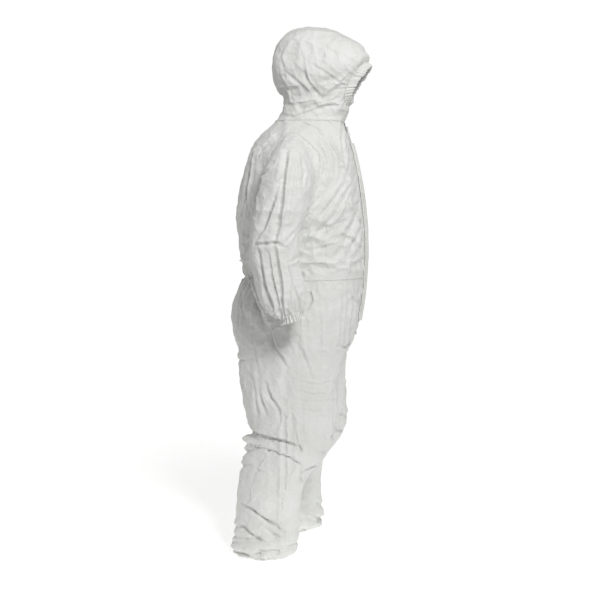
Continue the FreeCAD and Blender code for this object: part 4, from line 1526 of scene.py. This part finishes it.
world = bpy.data.worlds.new("studio")
bpy.context.scene.world = world
world.use_nodes = True
sky = world.node_tree
sky.nodes.clear()
rays = sky.nodes.new("ShaderNodeLightPath")
rays.label, rays.location = "what sees the studio", (-500, 150)
lit = sky.nodes.new("ShaderNodeBackground")
lit.label, lit.location = "soft light all round", (-250, 0)
lit.inputs["Strength"].default_value = studio["softLight"]
seen = sky.nodes.new("ShaderNodeBackground")
seen.label, seen.location = "white backdrop", (-250, -150)
seen.inputs["Strength"].default_value = studio["seenWhite"]
for shade in (lit, seen):
    shade.inputs["Color"].default_value = (1.0, 1.0, 0.995, 1.0)
choose = sky.nodes.new("ShaderNodeMixShader")
choose.label, choose.location = "light or backdrop", (0, 0)
skyOut = sky.nodes.new("ShaderNodeOutputWorld")
skyOut.label, skyOut.location = "studio", (200, 0)
sky.links.new(rays.outputs["Is Camera Ray"], choose.inputs["Fac"])
sky.links.new(lit.outputs["Background"], choose.inputs[1])
sky.links.new(seen.outputs["Background"], choose.inputs[2])
sky.links.new(choose.outputs["Shader"], skyOut.inputs["Surface"])
bpy.context.scene.view_settings.view_transform = "Standard"

areaLight("key", (-2500, 1300, 3000), (0, 0, 900), (0.9, 0.9), studio["keyPower"])
areaLight("rim", (1200, 2600, 1900), (0, 0, 1000), (1.2, 1.8), studio["rimPower"])
areaLight("back fill", (900, -3200, 2300), (0, 0, 900), (2.4, 2.4), studio["backPower"])


def floorMaterial():
    material, nodes, links = startMaterial("studioFloor")
    where = nodes.new("ShaderNodeTexCoord")
    where.label, where.location = "place on the floor", (-1100, 0)
    distance = nodes.new("ShaderNodeVectorMath")
    distance.label, distance.location = "distance from the suit", (-900, 0)
    distance.operation = "LENGTH"
    fade = nodes.new("ShaderNodeMapRange")
    fade.label, fade.location = "melts into the backdrop", (-700, 0)
    fade.interpolation_type = "SMOOTHSTEP"
    fade.inputs["From Min"].default_value, fade.inputs["From Max"].default_value = studio["floorFade"]
    grain = nodes.new("ShaderNodeTexNoise")
    grain.label, grain.location = "faint paper mottle", (-900, -250)
    grain.inputs["Scale"].default_value = 9
    tone = nodes.new("ShaderNodeMapRange")
    tone.label, tone.location = "nearly white", (-700, -250)
    tone.inputs["To Min"].default_value = studio["floorShade"] - 0.01
    tone.inputs["To Max"].default_value = studio["floorShade"] + 0.01
    paper = nodes.new("ShaderNodeBsdfPrincipled")
    paper.label, paper.location = "matt paper sweep", (-450, -150)
    paper.inputs["Roughness"].default_value = 0.9
    paper.inputs["Emission Color"].default_value = (1.0, 1.0, 0.995, 1.0)
    paper.inputs["Emission Strength"].default_value = studio["floorGlow"]
    clear = nodes.new("ShaderNodeBsdfTransparent")
    clear.label, clear.location = "backdrop shows", (-450, 100)
    mix = nodes.new("ShaderNodeMixShader")
    mix.label, mix.location = "floor or backdrop", (-150, 0)
    out = nodes.new("ShaderNodeOutputMaterial")
    out.location = (50, 0)
    links.new(where.outputs["Object"], distance.inputs[0])
    links.new(distance.outputs["Value"], fade.inputs["Value"])
    links.new(where.outputs["Object"], grain.inputs["Vector"])
    links.new(grain.outputs["Fac"], tone.inputs["Value"])
    links.new(tone.outputs["Result"], paper.inputs["Base Color"])
    links.new(fade.outputs["Result"], mix.inputs["Fac"])
    links.new(paper.outputs["BSDF"], mix.inputs[1])
    links.new(clear.outputs["BSDF"], mix.inputs[2])
    links.new(mix.outputs["Shader"], out.inputs["Surface"])
    return material


half = studio["floorSize"] / 2
floorMesh = bpy.data.meshes.new("floor")
corners = [(-half, -half, 0), (half, -half, 0), (half, half, 0), (-half, half, 0)]
floorMesh.from_pydata(corners, [], [(0, 1, 2, 3)])
floorPiece = addPiece("floor", floorMesh)
floorPiece.location = place(0, 0, hemUp - 1)
floorMesh.materials.append(floorMaterial())
